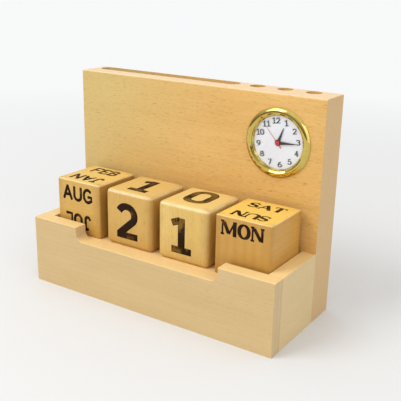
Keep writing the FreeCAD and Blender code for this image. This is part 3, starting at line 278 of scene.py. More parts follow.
@dataclass(frozen=True)
class Beech:
    """Lacquered beech: growth layers, fibres, soft clouds and short dark flecks in one solid pattern.

    Attributes:
        pale, deep: tones beside the growth layers and in them.
        end, top, left: tones of the end grain, of upper faces as a painted highlight, and of the left end.
        shift: offset of the pattern.
        shares: how much layers, fibres and clouds count in the tone.
        fleck_tint: a fleck's tone against the deep one.
    """

    name: str
    pale: Colour
    deep: Colour
    end: Colour
    grain: Grain = Grain.ACROSS
    shift: float = 0.0
    layer_mm: float = 7.0
    fleck: float = 0.5
    roughness: float = 0.46
    coat: float = 0.12
    # The top tone is a painted highlight on upper faces.
    top: Colour | None = None
    left: Colour | None = None
    end_depth: float = 0.84
    layer_stretch: Triple = (0.07, 1.0, 0.22)
    fibres_per_mm: Triple = (0.014, 1.3, 1.3)
    threads_per_mm: Triple = (0.09, 5.0, 5.0)
    clouds_per_mm: Triple = (0.010, 0.055, 0.055)
    fine_flecks_per_mm: Triple = (0.30, 4.2, 4.2)
    long_flecks_per_mm: Triple = (0.22, 3.4, 3.4)
    shares: Triple = (0.30, 0.36, 0.34)
    fleck_tint: Colour = (0.50, 0.36, 0.20)
    left_share: float = 0.75
    top_share: float = 0.72
    end_share: float = 0.85
    gloss: float = 0.35
    upper_range: Pair = (0.35, 0.95)
    end_range: Pair = (0.55, 0.95)
    fine_range: Pair = (0.64, 0.74)
    long_range: Pair = (0.68, 0.76)
    left_range: Pair = (-0.15, -1.0)
    left_lean: float = 0.35

    def material(self) -> Material:
        """Build the material.

        Returns:
            The material.
        """
        plan = SurfacePlan(self.name)
        turn = self.grain.value
        at = (self.shift, self.shift * 0.7, self.shift * 1.3)
        layers = plan.waves(plan.place(shaded(self.layer_stretch, 1.0 / self.layer_mm), turn, at), 5.0, 3.0)
        fibres = plan.noise(plan.place(self.fibres_per_mm, turn, at), 5.0, 0.72)
        threads = plan.noise(plan.place(self.threads_per_mm, turn, at), 2.0, 0.6)
        clouds = plan.noise(plan.place(self.clouds_per_mm, turn, at), 3.0, 0.55, 0.8)
        patterns = (layers, plan.level(fibres, *MID_NOISE), plan.level(clouds, *MID_NOISE))
        tone = plan.maths("ADD", *(plan.maths("MULTIPLY", *pair) for pair in zip(patterns, self.shares)))
        colour = plan.blend(tone, self.pale, self.deep)
        if self.left:
            colour = self.sweep(plan, colour)
        colour = self.cut_ends(plan, colour, layers, fibres)
        flecks = self.flecks(plan, at)
        brown = tuple(value * share for value, share in zip(self.deep, self.fleck_tint))
        colour = plan.blend(plan.maths("MULTIPLY", flecks, self.fleck), colour, brown)
        sheen = (self.roughness - 0.07, self.roughness + 0.09)
        plan.set(Base_Color=self.age(plan, colour), Roughness=plan.level(fibres, *WIDE_NOISE, sheen),
                 Coat_Weight=self.coat, Coat_Roughness=self.gloss, Specular_IOR_Level=self.gloss)
        plan.bump(plan.maths("SUBTRACT", threads, plan.maths("MULTIPLY", flecks, 0.8)), 0.35, 0.12)
        return plan.material

    def sweep(self, plan: SurfacePlan, colour: Socket) -> Socket:
        """Blend towards the tone of the plank's left end.

        Args:
            plan: the node plan.
            colour: the wood's colour so far.

        Returns:
            The colour with the slow change along the plank.
        """
        x, _, z = plan.split(plan.place((0.01, 0.01, 0.01)))
        along = plan.maths("SUBTRACT", x, plan.maths("MULTIPLY", z, self.left_lean))
        return plan.blend(plan.level(along, *self.left_range, (0.0, self.left_share)), colour, self.left)

    def cut_ends(self, plan: SurfacePlan, colour: Socket, layers: Socket, fibres: Socket) -> Socket:
        """Paint a highlight on upper faces, and add end grain where the fibres are cut across.

        Args:
            plan: the node plan.
            colour: the wood's colour so far.
            layers: the growth layers.
            fibres: the fibres.

        Returns:
            The colour with both.
        """
        # Painted highlight: faces that point up blend towards the pale top tone.
        if self.top:
            upper = plan.level(plan.facing()[2], *self.upper_range, (0.0, self.top_share))
            colour = plan.blend(upper, colour, self.top)
        along = plan.split(plan.turned(plan.coordinates["Normal"], self.grain.value))[0]
        across = plan.level(plan.absolute(along), *self.end_range, (0.0, self.end_share))
        dense = plan.maths("MULTIPLY", plan.maths("ADD", layers, plan.level(fibres, *MID_NOISE)), 0.5)
        end_tone = plan.blend(dense, shaded(self.end, 1.06), shaded(self.end, self.end_depth))
        return plan.blend(across, colour, end_tone)

    def flecks(self, plan: SurfacePlan, at: Triple) -> Socket:
        """Draw the short dark flecks of beech, many fine ones and a few long ones.

        Args:
            plan: the node plan.
            at: offset of the pattern.

        Returns:
            1 in a fleck and 0 beside it.
        """
        apart = tuple(value + 9.0 for value in at)
        fine = plan.noise(plan.place(self.fine_flecks_per_mm, self.grain.value, at), 1.0, 0.5)
        long = plan.noise(plan.place(self.long_flecks_per_mm, self.grain.value, apart), 1.0, 0.5)
        return plan.maths("MAXIMUM", plan.level(fine, *self.fine_range), plan.level(long, *self.long_range))

    def age(self, plan: SurfacePlan, colour: Socket) -> Socket:
        """Return the colour with darkened oil and painted light. Plain boards keep theirs."""
        return colour


@dataclass(frozen=True)
class CubeBeech(Beech):
    """Beech of a loose cube, with oil and painted shade at its edges, painted shade low down and on its
    sides, and a painted highlight on its upper edges.
    """

    centre_mm: Triple = (0.0, -7.0, 48.0)
    half_mm: float = 16.0
    coat: float = 0.3
    # Dark tone of the darkened oil and of the painted shade.
    rim: Colour = (0.29, 0.115, 0.012)
    rim_strength: float = 0.42
    # Painted shade towards the lower end.
    low_strength: float = 0.3
    # Share of painted shade on faces that point left or right.
    flank: float = 0.28
    # Pale tone of the painted highlight on upper edges.
    worn: Colour = (0.92, 0.78, 0.50)
    patches_per_mm: float = 0.11
    rim_range: Pair = (0.66, 1.04)
    rim_wobble: Pair = (-0.12, 0.12)
    low_range: Pair = (0.0, -1.2)
    low_wobble: Pair = (-0.3, 0.3)
    flank_range: Pair = (0.5, 0.95)
    worn_slope: float = 0.6
    worn_range: Pair = (0.66, 0.95)
    left_rim: float = 0.9

    def age(self, plan: SurfacePlan, colour: Socket) -> Socket:
        """Darken the edges with oil and painted shade, paint shade on the lower end and on the side faces,
        and paint a patchy highlight on the upper edges.

        Args:
            plan: the node plan.
            colour: the wood's colour so far.

        Returns:
            The colour with darkened oil and painted light.
        """
        size = 1.0 / self.half_mm
        x, y, z = plan.split(plan.place((size,) * 3, shift=shaded(self.centre_mm, -size)))
        # The edges, except the top ones, darken partly from oil and partly as painted shade.
        axes = (plan.maths("MAXIMUM", x, plan.maths("MULTIPLY", x, -self.left_rim)), plan.absolute(y),
                plan.maths("MAXIMUM", plan.maths("MULTIPLY", z, -1.0), 0.0))
        total, largest, smallest = (plan.maths(kind, *axes) for kind in ("ADD", "MAXIMUM", "MINIMUM"))
        nearest = plan.maths("SUBTRACT", total, largest, smallest)
        patches = plan.noise(plan.place((self.patches_per_mm,) * 3, shift=(self.shift,) * 3), 3.0, 0.6)
        wobble = plan.maths("ADD", nearest, plan.level(patches, *WIDE_NOISE, self.rim_wobble))
        rims = plan.level(wobble, *self.rim_range, (0.0, self.rim_strength))
        # Painted shade: the lower end darkens towards the bottom.
        lower = plan.maths("ADD", z, plan.level(patches, *WIDE_NOISE, self.low_wobble))
        oil_and_shade_mask = plan.maths("MAXIMUM", rims, plan.level(lower, *self.low_range, (0.0, self.low_strength)))
        colour = plan.blend(oil_and_shade_mask, colour, self.rim)
        # Painted shade: faces that point left or right darken.
        sideways, _, upwards = plan.facing()
        flank = plan.level(plan.absolute(sideways), *self.flank_range, (0.0, self.flank))
        colour = plan.blend(flank, colour, self.rim)
        # Painted highlight: rounded upper edges, whose faces point partly up, turn pale in patches.
        slope = plan.maths("SUBTRACT", 1.0, plan.absolute(plan.maths("SUBTRACT", upwards, self.worn_slope)))
        highlight_patches = plan.level(patches, 0.35, 0.6, (0.25, 0.6))
        edge_highlight = plan.maths("MULTIPLY", plan.level(slope, *self.worn_range), highlight_patches)
        return plan.blend(edge_highlight, colour, self.worn)


@dataclass(frozen=True)
class Metal:
    """Metal with a fine cast or brushed unevenness."""

    name: str
    colour: Colour
    roughness: float
    shade: float = 0.85
    per_mm: Triple = (1.5, 1.5, 1.5)
    relief: float = 0.03

    def material(self) -> Material:
        """Build the material.

        Returns:
            The material.
        """
        plan = SurfacePlan(self.name)
        uneven = plan.noise(plan.place(self.per_mm), 3.0, 0.6)
        tone = plan.blend(plan.level(uneven, *UNEVEN), self.colour, shaded(self.colour, self.shade))
        sheen = (self.roughness * 0.8, self.roughness * 1.25)
        plan.set(Base_Color=tone, Metallic=1.0, Roughness=plan.level(uneven, *MID_NOISE, sheen))
        plan.bump(uneven, self.relief, 0.05)
        return plan.material


@dataclass(frozen=True)
class Coating:
    """Plastic, paint or ink with small changes of tone and sheen."""

    name: str
    colour: Colour
    other: Colour
    roughness: float
    per_mm: float = 0.8
    relief: float = 0.08
    coat: float = 0.0

    def material(self) -> Material:
        """Build the material.

        Returns:
            The material.
        """
        plan = SurfacePlan(self.name)
        uneven = plan.noise(plan.place((self.per_mm,) * 3), 4.0, 0.6)
        tone = plan.blend(plan.level(uneven, *UNEVEN), self.colour, self.other)
        sheen = (self.roughness * 0.85, self.roughness * 1.15)
        plan.set(Base_Color=tone, Coat_Weight=self.coat, Roughness=plan.level(uneven, *MID_NOISE, sheen))
        plan.bump(uneven, self.relief, 0.04)
        return plan.material


@dataclass(frozen=True)
class BurntInk:
    """Dark brown lettering burnt into wood, with the fibres showing faintly through it.

    Attributes:
        shift: offset of the patches of wear.
        wear: where the wear starts and where it is full.
    """

    name: str
    dark: Colour
    brown: Colour
    faded: Colour
    shift: float = 0.0
    wear: Pair = (0.54, 0.68)
    patches_per_mm: float = 0.13
    fibres_per_mm: Triple = (0.12, 2.4, 2.4)

    def material(self) -> Material:
        """Build the material.

        Returns:
            The material.
        """
        plan = SurfacePlan(self.name)
        fibres = plan.noise(plan.place(self.fibres_per_mm, Grain.UPRIGHT.value), 3.0, 0.6)
        colour = plan.blend(plan.level(fibres, 0.5, 0.78, (0.0, 0.8)), self.dark, self.brown)
        patches = plan.noise(plan.place((self.patches_per_mm,) * 3, shift=(self.shift, 0.3, 0.0)), 3.0, 0.65)
        worn = plan.maths("ADD", patches, plan.level(fibres, *MID_NOISE, (-0.08, 0.08)),
                          plan.level(plan.facing()[2], 0.2, 0.9, (-0.05, 0.07)))
        plan.set(Base_Color=plan.blend(plan.level(worn, *self.wear, (0.0, 0.85)), colour, self.faded),
                 Roughness=plan.level(fibres, *MID_NOISE, (0.5, 0.7)), Specular_IOR_Level=0.12)
        plan.bump(fibres, 0.3, 0.06)
        return plan.material


@dataclass(frozen=True)
class ClearLens:
    """Thin clear lens with faint smears in its gloss."""

    name: str = "clear_lens"
    tint: Colour = (0.97, 0.99, 0.98)
    opacity: float = 0.14

    def material(self) -> Material:
        """Build the material.

        Returns:
            The material.
        """
        plan = SurfacePlan(self.name)
        smear = plan.noise(plan.place((0.15, 0.15, 0.15)), 3.0, 0.6, 1.0)
        plan.set(Base_Color=self.tint, Alpha=self.opacity, Transmission_Weight=1.0,
                 Roughness=plan.level(smear, 0.3, 0.8, (0.02, 0.09)))
        plan.bump(smear, 0.02, 0.02)
        return plan.material


@dataclass(frozen=True)
class CopperWinding:
    """Fine copper wire in even turns around the coil."""

    name: str = "copper_winding"
    direction: float = 45.0
    turns_per_mm: float = 1.3

    def material(self) -> Material:
        """Build the material.

        Returns:
            The material.
        """
        plan = SurfacePlan(self.name)
        turns = plan.waves(plan.place((0.0, self.turns_per_mm, 0.0), (0.0, self.direction, 90.0)), 0.2)
        plan.set(Base_Color=plan.blend(turns, srgb(150, 70, 32), srgb(214, 120, 66)), Metallic=0.9,
                 Roughness=plan.level(turns, 0.0, 1.0, (0.5, 0.3)))
        plan.bump(turns, 0.5, 0.06)
        return plan.material


Finish = Beech | Metal | Coating | BurntInk | ClearLens | CopperWinding
FINISHES: dict[str, Finish] = {kind.name: kind for kind in (
    # The top tones below are painted highlights on upper faces.
    Beech("block_beech", srgb(241, 197, 123), srgb(214, 165, 89), srgb(218, 183, 131), fleck=0.6,
          top=srgb(252, 223, 185), left=srgb(207, 184, 118)),
    Beech("front_beech", srgb(222, 195, 144), srgb(204, 173, 119), srgb(210, 181, 136), shift=31.0,
          layer_mm=11.0, fleck=0.3, top=srgb(251, 214, 146), end_depth=0.93),
    Beech("side_beech", srgb(231, 204, 152), srgb(213, 184, 130), srgb(206, 174, 130), Grain.DEEP, 53.0,
          fleck=0.3, top=srgb(252, 216, 146), end_depth=0.93),
    Beech("floor_beech", srgb(246, 208, 144), srgb(228, 184, 116), srgb(205, 168, 116), shift=77.0,
          top=srgb(252, 216, 150)),
    Beech("dowel_beech", srgb(226, 192, 140), srgb(206, 166, 108), srgb(196, 160, 112), Grain.DEEP, 11.0),
    CubeBeech("month_beech", srgb(217, 175, 91), srgb(190, 142, 58), srgb(204, 160, 78), shift=19.0,
              top=srgb(242, 206, 118), centre_mm=(-53.9, -7.0, 48.0)),
    CubeBeech("tens_beech", srgb(224, 185, 104), srgb(198, 153, 70), srgb(230, 191, 112), Grain.UPRIGHT, 43.0,
              centre_mm=(-17.4, -7.0, 48.0), rim_strength=0.4),
    CubeBeech("units_beech", srgb(236, 202, 124), srgb(210, 170, 84), srgb(240, 206, 128),
              Grain.UPRIGHT, 67.0, centre_mm=(19.1, -7.0, 48.0)),
    CubeBeech("weekday_beech", srgb(222, 174, 84), srgb(196, 142, 56), srgb(196, 148, 66), Grain.DEEP, 91.0,
              top=srgb(255, 214, 104), centre_mm=(55.6, -7.0, 48.0), rim_strength=0.3, low_strength=0.56,
              flank=0.06, layer_mm=16.0, end_depth=0.94),
    Metal("polished_gold", srgb(212, 188, 102), 0.05, 0.88, (0.4, 0.4, 0.4), 0.012),
    Metal("movement_brass", srgb(206, 178, 112), 0.32, 0.85, (0.3, 6.0, 6.0)),
    Metal("screw_steel", srgb(196, 197, 200), 0.28, 0.85, (0.4, 5.0, 5.0)),
    Metal("cell_steel", srgb(208, 208, 210), 0.24, 0.9, (5.0, 0.5, 0.5)),
    Metal("core_iron", srgb(168, 168, 172), 0.38, 0.8, (0.3, 4.0, 4.0)),
    Metal("rotor_magnet", srgb(96, 96, 100), 0.42, 0.8),
    Metal("crystal_can", srgb(214, 214, 214), 0.22, 0.9),
    Coating("dial_white", srgb(240, 242, 249), srgb(234, 236, 243), 0.5, 0.12, 0.02),
    Coating("case_plastic", srgb(34, 33, 32), srgb(24, 23, 23), 0.5, 3.0, 0.2),
    Coating("ivory_plastic", srgb(236, 233, 222), srgb(224, 220, 206), 0.42, 1.0),
    Coating("green_board", srgb(34, 92, 48), srgb(22, 70, 36), 0.4, 1.2),
    Coating("dark_paint", srgb(38, 26, 22), srgb(22, 16, 14), 0.3, 1.5, 0.04, 0.3),
    Coating("red_paint", srgb(206, 34, 30), srgb(176, 24, 24), 0.3, 1.5, 0.04, 0.3),
    Coating("dial_ink", srgb(26, 27, 30), srgb(16, 17, 19), 0.55, 2.0, 0.04),
    BurntInk("burnt_lettering", srgb(36, 20, 8), srgb(74, 44, 18), srgb(132, 98, 36), wear=(0.47, 0.62)),
    BurntInk("burnt_serif_lettering", srgb(38, 20, 8), srgb(66, 38, 16), srgb(96, 60, 22), shift=9.0),
    BurntInk("dark_burnt_lettering", srgb(34, 18, 8), srgb(62, 36, 16), srgb(112, 74, 30), shift=4.0),
    ClearLens(),
    CopperWinding(),
)}


NODE_FINISHES: dict[str, str] = {
    "block_beech": "back_block", "front_beech": "front_board", "floor_beech": "floor_board",
    "side_beech": "left_side_board right_side_board", "dowel_beech": "joint_dowels",
    "month_beech": "month_cube", "tens_beech": "tens_cube", "units_beech": "units_cube",
    "weekday_beech": "weekday_cube", "polished_gold": "bezel", "clear_lens": "lens", "dial_white": "dial",
    "case_plastic": "clock_case battery_hatch setting_knob",
    "ivory_plastic": "mounting_ring movement_holder fifth_wheel seconds_wheel third_wheel minute_wheel "
                     "hour_wheel",
    "movement_brass": "main_plate train_bridge centre_wheel cannon_pinion",
    "screw_steel": "bridge_screws battery_clip", "cell_steel": "battery", "green_board": "circuit_board",
    "crystal_can": "quartz_crystal", "copper_winding": "motor_coil", "core_iron": "coil_core stator",
    "rotor_magnet": "rotor", "dark_paint": "hour_hand minute_hand", "red_paint": "second_hand",
}


@cache
def finish(name: str) -> Material:
    """Return the material of a named finish, built once."""
    return FINISHES[name].material()


def dress_nodes() -> None:
    """Give every CAD node its finish."""
    for name, nodes in NODE_FINISHES.items():
        for node in nodes.split():
            dress(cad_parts[node], finish(name))
        LOG.info("finish %s: %s", name, nodes)


def bow(cx: float, cy: float, rx: float, ry: float, start: float, end: float) -> Points:
    """Draw part of an ellipse.

    Args:
        cx, cy: its centre.
        rx, ry: its half width and half height.
        start, end: its first and last angle in degrees.

    Returns:
        Points along it.
    """
    count = max(4, round(abs(end - start) / 15))
    turns = [radians(start + (end - start) * step / count) for step in range(count + 1)]
    return tuple((cx + rx * cos(turn), cy + ry * sin(turn)) for turn in turns)


@dataclass(frozen=True)
class Stroke:
    """A stroke of a letter of height 1: its middle line, and if it is thin, closed or swells midway."""

    path: Points
    light: bool = False
    closed: bool = False
    swelling: bool = False


@dataclass(frozen=True)
class Glyph:
    """A letter or digit: its width, its strokes and where its serifs sit."""

    width: float
    strokes: tuple[Stroke, ...]
    feet: Points = ()


def ring(cx: float, cy: float, rx: float, ry: float) -> Stroke:
    """Return a closed oval stroke."""
    return Stroke(bow(cx, cy, rx, ry, 90, 450)[:-1], closed=True)


def bar(*path: Pair) -> Stroke:
    """Return a full stroke through points."""
    return Stroke(path)


def hair(*path: Pair) -> Stroke:
    """Return a thin stroke through points."""
    return Stroke(path, light=True)


STEM = bar((0, 0), (0, 1))
GLYPHS: dict[str, Glyph] = {
    "0": Glyph(0.58, (Stroke((
        *bow(0.33, 0.72, 0.25, 0.28, 0, 90), *bow(0.25, 0.72, 0.25, 0.28, 90, 180),
        *bow(0.25, 0.28, 0.25, 0.28, 180, 270), *bow(0.33, 0.28, 0.25, 0.28, 270, 360)), closed=True),)),
    "1": Glyph(0.56, (
        hair((-0.03, 0.86), (0.24, 0.985)), bar((0.28, 1.06), (0.28, 0)), hair((-0.04, 0), (0.6, 0)))),
    "2": Glyph(0.6, (bar(*bow(0.28, 0.7, 0.28, 0.3, 158, -34), (0.02, 0.03)), hair((-0.07, 0), (0.66, 0)))),
    "3": Glyph(0.6, (
        bar(*bow(0.28, 0.76, 0.26, 0.24, 150, -90)), bar(*bow(0.28, 0.26, 0.31, 0.26, 90, -150)))),
    "4": Glyph(0.64, (bar((0.46, 0), (0.46, 1)), hair((0.46, 1), (0, 0.3)), hair((0, 0.3), (0.64, 0.3)))),
    "5": Glyph(0.6, (
        hair((0.55, 1), (0.12, 1)), hair((0.12, 1), (0.07, 0.56)),
        bar(*bow(0.28, 0.32, 0.31, 0.32, 132, -150)))),
    "6": Glyph(0.62, (ring(0.31, 0.31, 0.31, 0.31), bar(*bow(0.56, 0.36, 0.56, 0.64, 180, 98)))),
    "7": Glyph(0.6, (hair((0, 1), (0.6, 1)), bar((0.6, 1), (0.22, 0)))),
    "8": Glyph(0.62, (ring(0.31, 0.76, 0.25, 0.24), ring(0.31, 0.26, 0.31, 0.26))),
    "9": Glyph(0.62, (ring(0.31, 0.69, 0.31, 0.31), bar(*bow(0.06, 0.64, 0.56, 0.64, 0, -82)))),
    "A": Glyph(0.74, (hair((0, 0), (0.36, 1)), bar((0.36, 1), (0.74, 0)), hair((0.13, 0.33), (0.6, 0.33)))),
    "B": Glyph(0.56, (
        STEM, bar((0, 1), *bow(0.26, 0.765, 0.24, 0.235, 90, -90), (0, 0.53)),
        bar(*bow(0.28, 0.265, 0.28, 0.265, 90, -90), (0, 0)))),
    "C": Glyph(0.66, (bar(*bow(0.36, 0.5, 0.36, 0.5, 48, 312)),)),
    "D": Glyph(0.66, (STEM, bar((0, 1), *bow(0.22, 0.5, 0.44, 0.5, 90, -90), (0, 0))), ((0, 0), (0, 1))),
    "E": Glyph(0.54, (
        STEM, hair((0, 1), (0.52, 1), (0.52, 0.86)), hair((0, 0.52), (0.4, 0.52)),
        hair((0, 0), (0.54, 0), (0.54, 0.14))), ((0, 0), (0, 1))),
    "F": Glyph(0.54, (
        STEM, hair((0, 1), (0.54, 1), (0.54, 0.86)), hair((0, 0.5), (0.4, 0.5))), ((0, 0), (0, 1))),
    "G": Glyph(0.72, (bar(*bow(0.37, 0.5, 0.37, 0.5, 48, 300), (0.72, 0.16), (0.72, 0.45), (0.44, 0.45)),)),
    "H": Glyph(0.66, (
        STEM, bar((0.66, 0), (0.66, 1)), hair((0, 0.5), (0.66, 0.5))),
        ((0, 0), (0.66, 0), (0, 1), (0.66, 1))),
    "I": Glyph(0.08, (bar((0.04, 0), (0.04, 1)),), ((0.04, 0), (0.04, 1))),
    "J": Glyph(0.52, (bar((0.4, 1), *bow(0.19, 0.24, 0.21, 0.24, 0, -165)), bar((0.2, 1), (0.58, 1)))),
    "L": Glyph(0.5, (bar((0, 1), (0, 0), (0.5, 0)),)),
    "M": Glyph(0.84, (
        hair((0, 0), (0, 1)), bar((0, 1), (0.42, 0.08)), hair((0.42, 0.08), (0.84, 1)),
        bar((0.84, 1), (0.84, 0)))),
    "N": Glyph(0.66, (hair((0, 0), (0, 1)), bar((0, 1), (0.66, 0)), hair((0.66, 0), (0.66, 1)))),
    "O": Glyph(0.74, (ring(0.37, 0.5, 0.37, 0.5),)),
    "P": Glyph(0.56, (STEM, bar((0, 1), *bow(0.28, 0.74, 0.27, 0.26, 90, -90), (0, 0.48)))),
    "R": Glyph(0.62, (
        STEM, bar((0, 1), *bow(0.28, 0.74, 0.27, 0.26, 90, -90), (0, 0.48)), bar((0.28, 0.48), (0.6, 0))),
        ((0, 0), (0, 1), (0.62, 0))),
    "S": Glyph(0.58, (bar(*bow(0.29, 0.75, 0.26, 0.25, 38, 262), *bow(0.29, 0.26, 0.29, 0.26, 84, -145)),)),
    "T": Glyph(0.68, (hair((0, 0.86), (0, 1), (0.68, 1), (0.68, 0.86)), bar((0.34, 1), (0.34, 0)))),
    "U": Glyph(0.64, (bar((0, 1), *bow(0.32, 0.31, 0.32, 0.31, 180, 360), (0.64, 1)),)),
    "V": Glyph(0.7, (bar((0, 1), (0.35, 0)), hair((0.35, 0), (0.7, 1)))),
    "W": Glyph(1.04, (
        bar((0, 1), (0.27, 0)), hair((0.27, 0), (0.52, 0.9)), bar((0.52, 0.9), (0.78, 0)),
        hair((0.78, 0), (1.04, 1))), ((0, 1), (1.04, 1))),
    "Y": Glyph(0.66, (bar((0, 1), (0.33, 0.48), (0.33, 0)), bar((0.66, 1), (0.33, 0.48)))),
}


@dataclass(frozen=True)
class Pen:
    """How a style draws its letters, as shares of their height.

    Attributes:
        full: half the full stroke.
        thin: half the thin stroke.
        gap: clear space between letters.
        serif: reach of a serif, 0 for none.
        squeeze: width of the letters against their drawn width.
        round_ends: whether open strokes end round.
    """

    full: float
    thin: float
    gap: float
    serif: float = 0.0
    squeeze: float = 1.0
    round_ends: bool = True


SERIF_GLYPHS: dict[str, Glyph] = {
    "A": Glyph(0.92, (
        hair((0.02, 0), (0.46, 0.98)), bar((0.42, 0.95), (0.86, 0.04)), hair((0.2, 0.33), (0.7, 0.33))),
        ((0.02, 0), (0.86, 0))),
    "M": Glyph(1.12, (
        hair((0, 0), (0, 1)), bar((0.13, 0.94), (0.5, 0.1)), hair((0.53, 0.05), (0.93, 0.95)),
        bar((0.98, 1), (0.98, 0))), ((0, 0), (0.98, 0), (0.0, 1), (0.99, 1))),
    "N": Glyph(0.76, (
        hair((0, 0), (0, 1)), bar((0.12, 0.93), (0.66, 0.08)), hair((0.72, 0.02), (0.72, 1)),
        hair((0.77, 0.02), (0.77, 1))), ((0, 0), (0.0, 1), (0.75, 1))),
    "O": Glyph(0.88, (ring(0.4, 0.5, 0.38, 0.5),)),
    "S": Glyph(0.66, (
        hair(*bow(0.33, 0.745, 0.29, 0.255, 28, 190)), hair(*bow(0.33, 0.26, 0.31, 0.26, 10, -152)),
        Stroke((*bow(0.33, 0.745, 0.28, 0.245, 140, 238), *bow(0.33, 0.26, 0.3, 0.25, 58, -40)),
               swelling=True),
        hair((0.6, 0.99), (0.6, 0.76)), hair((0.04, 0.24), (0.04, 0.02)))),
    "T": Glyph(0.8, (
        hair((0.0, 0.78), (0.02, 1), (0.78, 1), (0.8, 0.78)), bar((0.4, 1), (0.4, 0))), ((0.4, 0),)),
    "U": Glyph(0.86, (
        bar((0, 1), *bow(0.38, 0.31, 0.38, 0.31, 180, 270)),
        hair(*bow(0.38, 0.31, 0.38, 0.31, 270, 360), (0.76, 1))), ((0, 1), (0.76, 1))),
}


class LetterStyle(Enum):
    """The pens of this object's lettering."""

    MONTH = Pen(0.1, 0.1, 0.045, squeeze=0.84)
    DIGIT = Pen(0.104, 0.090, 0.2, squeeze=0.92, round_ends=False)
    WEEKDAY = Pen(0.138, 0.068, -0.1, serif=0.13, squeeze=0.92, round_ends=False)
    DIAL = Pen(0.118, 0.062, -0.05, squeeze=0.86)


@dataclass
class Word:
    """One word or number on a flat face."""

    text: str
    style: LetterStyle
    height_mm: float
    centre: Vector
    right: Vector
    up: Vector
    relief_mm: float = 0.06

    def strokes(self) -> list[tuple[Inked, bool]]:
        """Lay out the letters around the word's middle.

        Returns:
            Every stroke as points with half widths, and whether it is closed.
        """
        pen = self.style.value
        letters = {**GLYPHS, **SERIF_GLYPHS} if pen.serif else GLYPHS
        glyphs = [letters[letter] for letter in self.text]
        space = pen.gap + pen.full * 2
        length = sum(glyph.width for glyph in glyphs) * pen.squeeze + space * (len(glyphs) - 1)
        scale = self.height_mm * MM
        start, drawn = -length / 2, []
        for glyph in glyphs:
            strokes = [(self.swell(stroke, pen), stroke.closed) for stroke in glyph.strokes]
            if pen.serif:
                reach = pen.serif / pen.squeeze
                strokes += [([(x - reach, y, pen.thin), (x + reach, y, pen.thin)], False)
                            for x, y in glyph.feet]
            for points, closed in strokes:
                drawn.append(([((x * pen.squeeze + start) * scale, self.inset(y) * scale, half * scale)
                               for x, y, half in points], closed))
            start += glyph.width * pen.squeeze + space
        return drawn

    def inset(self, y: float) -> float:
        """Return a height within the letter around its middle, leaving room for the stroke."""
        pen = self.style.value
        return (y - 0.5) * (1 - 2 * (pen.thin if pen.serif else pen.full))

    def swell(self, stroke: Stroke, pen: Pen) -> Inked:
        """Give the points of a stroke the half width that their direction asks for.

        Args:
            stroke: the stroke.
            pen: the style's pen.

        Returns:
            The points with their half widths.
        """
        path, last = stroke.path, len(stroke.path) - 1
        swollen = []
        for index, (x, y) in enumerate(path):
            before = path[index - 1] if index or stroke.closed else path[0]
            after = path[(index + 1) % len(path)] if index < last or stroke.closed else path[last]
            dx, dy = after[0] - before[0], after[1] - before[1]
            upright = abs(dy) / max(hypot(dx, dy), 1e-9)
            if stroke.swelling:
                upright = sin(pi * index / last) ** 0.6
            half = pen.thin if stroke.light else pen.thin + (pen.full - pen.thin) * upright ** 1.2
            swollen.append((x, y, half))
        return self.rounded(swollen) if pen.round_ends and not stroke.closed else swollen

    def rounded(self, points: Inked) -> Inked:
        """Round both ends of an open stroke.

        Args:
            points: its points with half widths.

        Returns:
            The points with those of the round ends.
        """
        caps = [(sin(radians(turn)), cos(radians(turn))) for turn in (88, 65, 40, 20)]
        ends = []
        for (x, y, half), inner in ((points[0], points[1]), (points[-1], points[-2])):
            away = Vector((x - inner[0], y - inner[1])).normalized()
            ends.append([(x + away.x * far * half, y + away.y * far * half, near * half)
                         for far, near in caps])
        return ends[0] + points + ends[1][::-1]

    def build(self) -> Object:
        """Make the word's mesh in its place.

        Returns:
            The mesh object.
        """
        curve = bpy.data.curves.new("word_" + self.text, "CURVE")
        curve.dimensions = "3D"
        curve.bevel_depth = 1.0
        curve.bevel_resolution = 1
        curve.use_fill_caps = True
        for points, closed in self.strokes():
            spline = curve.splines.new("POLY")
            spline.points.add(len(points) - 1)
            for spot, (x, y, half) in zip(spline.points, points):
                spot.co = (x, y, 0.0, 1.0)
                spot.radius = half
            spline.use_cyclic_u = closed
        word = bpy.data.objects.new("word_" + self.text, curve)
        bpy.context.scene.collection.objects.link(word)
        select(word)
        bpy.ops.object.convert(target="MESH")
        word = bpy.context.object
        tallest = max(abs(vertex.co.z) for vertex in word.data.vertices)
        switch("EDIT")
        bpy.ops.mesh.select_all(action="SELECT")
        bpy.ops.mesh.remove_doubles(threshold=1e-7)
        bpy.ops.mesh.normals_make_consistent(inside=False)
        switch("OBJECT")
        outward = self.right.cross(self.up).normalized()
        turn = Matrix((self.right.normalized(), self.up.normalized(), outward)).transposed().to_4x4()
        flat = Matrix.Diagonal((1.0, 1.0, self.relief_mm * MM / tallest, 1.0))
        word.matrix_world = Matrix.Translation(self.centre) @ turn @ flat
        bpy.ops.object.transform_apply()
        return word


def letter(name: str, words: list[Word], ink: str, body: str) -> None:
    """Make one lettering piece out of words.

    Args:
        name: the piece's name.
        words: the words on it.
        ink: the finish of the letters.
        body: the body that the piece rides on.
    """
    select(*[word.build() for word in words])
    bpy.ops.object.join()
    piece = bpy.context.object
    piece.name = piece.data.name = name
    dress(piece, finish(ink))
    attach(piece, body)
    LOG.info("piece %s: %d words", name, len(words))


@dataclass(frozen=True)
class Spot:
    """Where a word stands from the middle of its face, and whether it is upside down."""

    along_mm: float = 0.0
    above_mm: float = 0.0
    upside_down: bool = False


Words = tuple[tuple[str, str, Spot], ...]


@dataclass
class Face:
    """One face of a cube: its middle and the directions to the right and up in it."""

    centre: Vector
    right: Vector
    up: Vector

    def word(self, text: str, style: LetterStyle, height_mm: float, spot: Spot) -> Word:
        """Write a word on the face.

        Args:
            text: the word.
            style: its letters.
            height_mm: their height.
            spot: where it stands on the face.

        Returns:
            The word.
        """
        at = self.centre + self.right * spot.along_mm * MM + self.up * spot.above_mm * MM
        sign = -1.0 if spot.upside_down else 1.0
        return Word(text, style, height_mm, at, self.right * sign, self.up * sign)


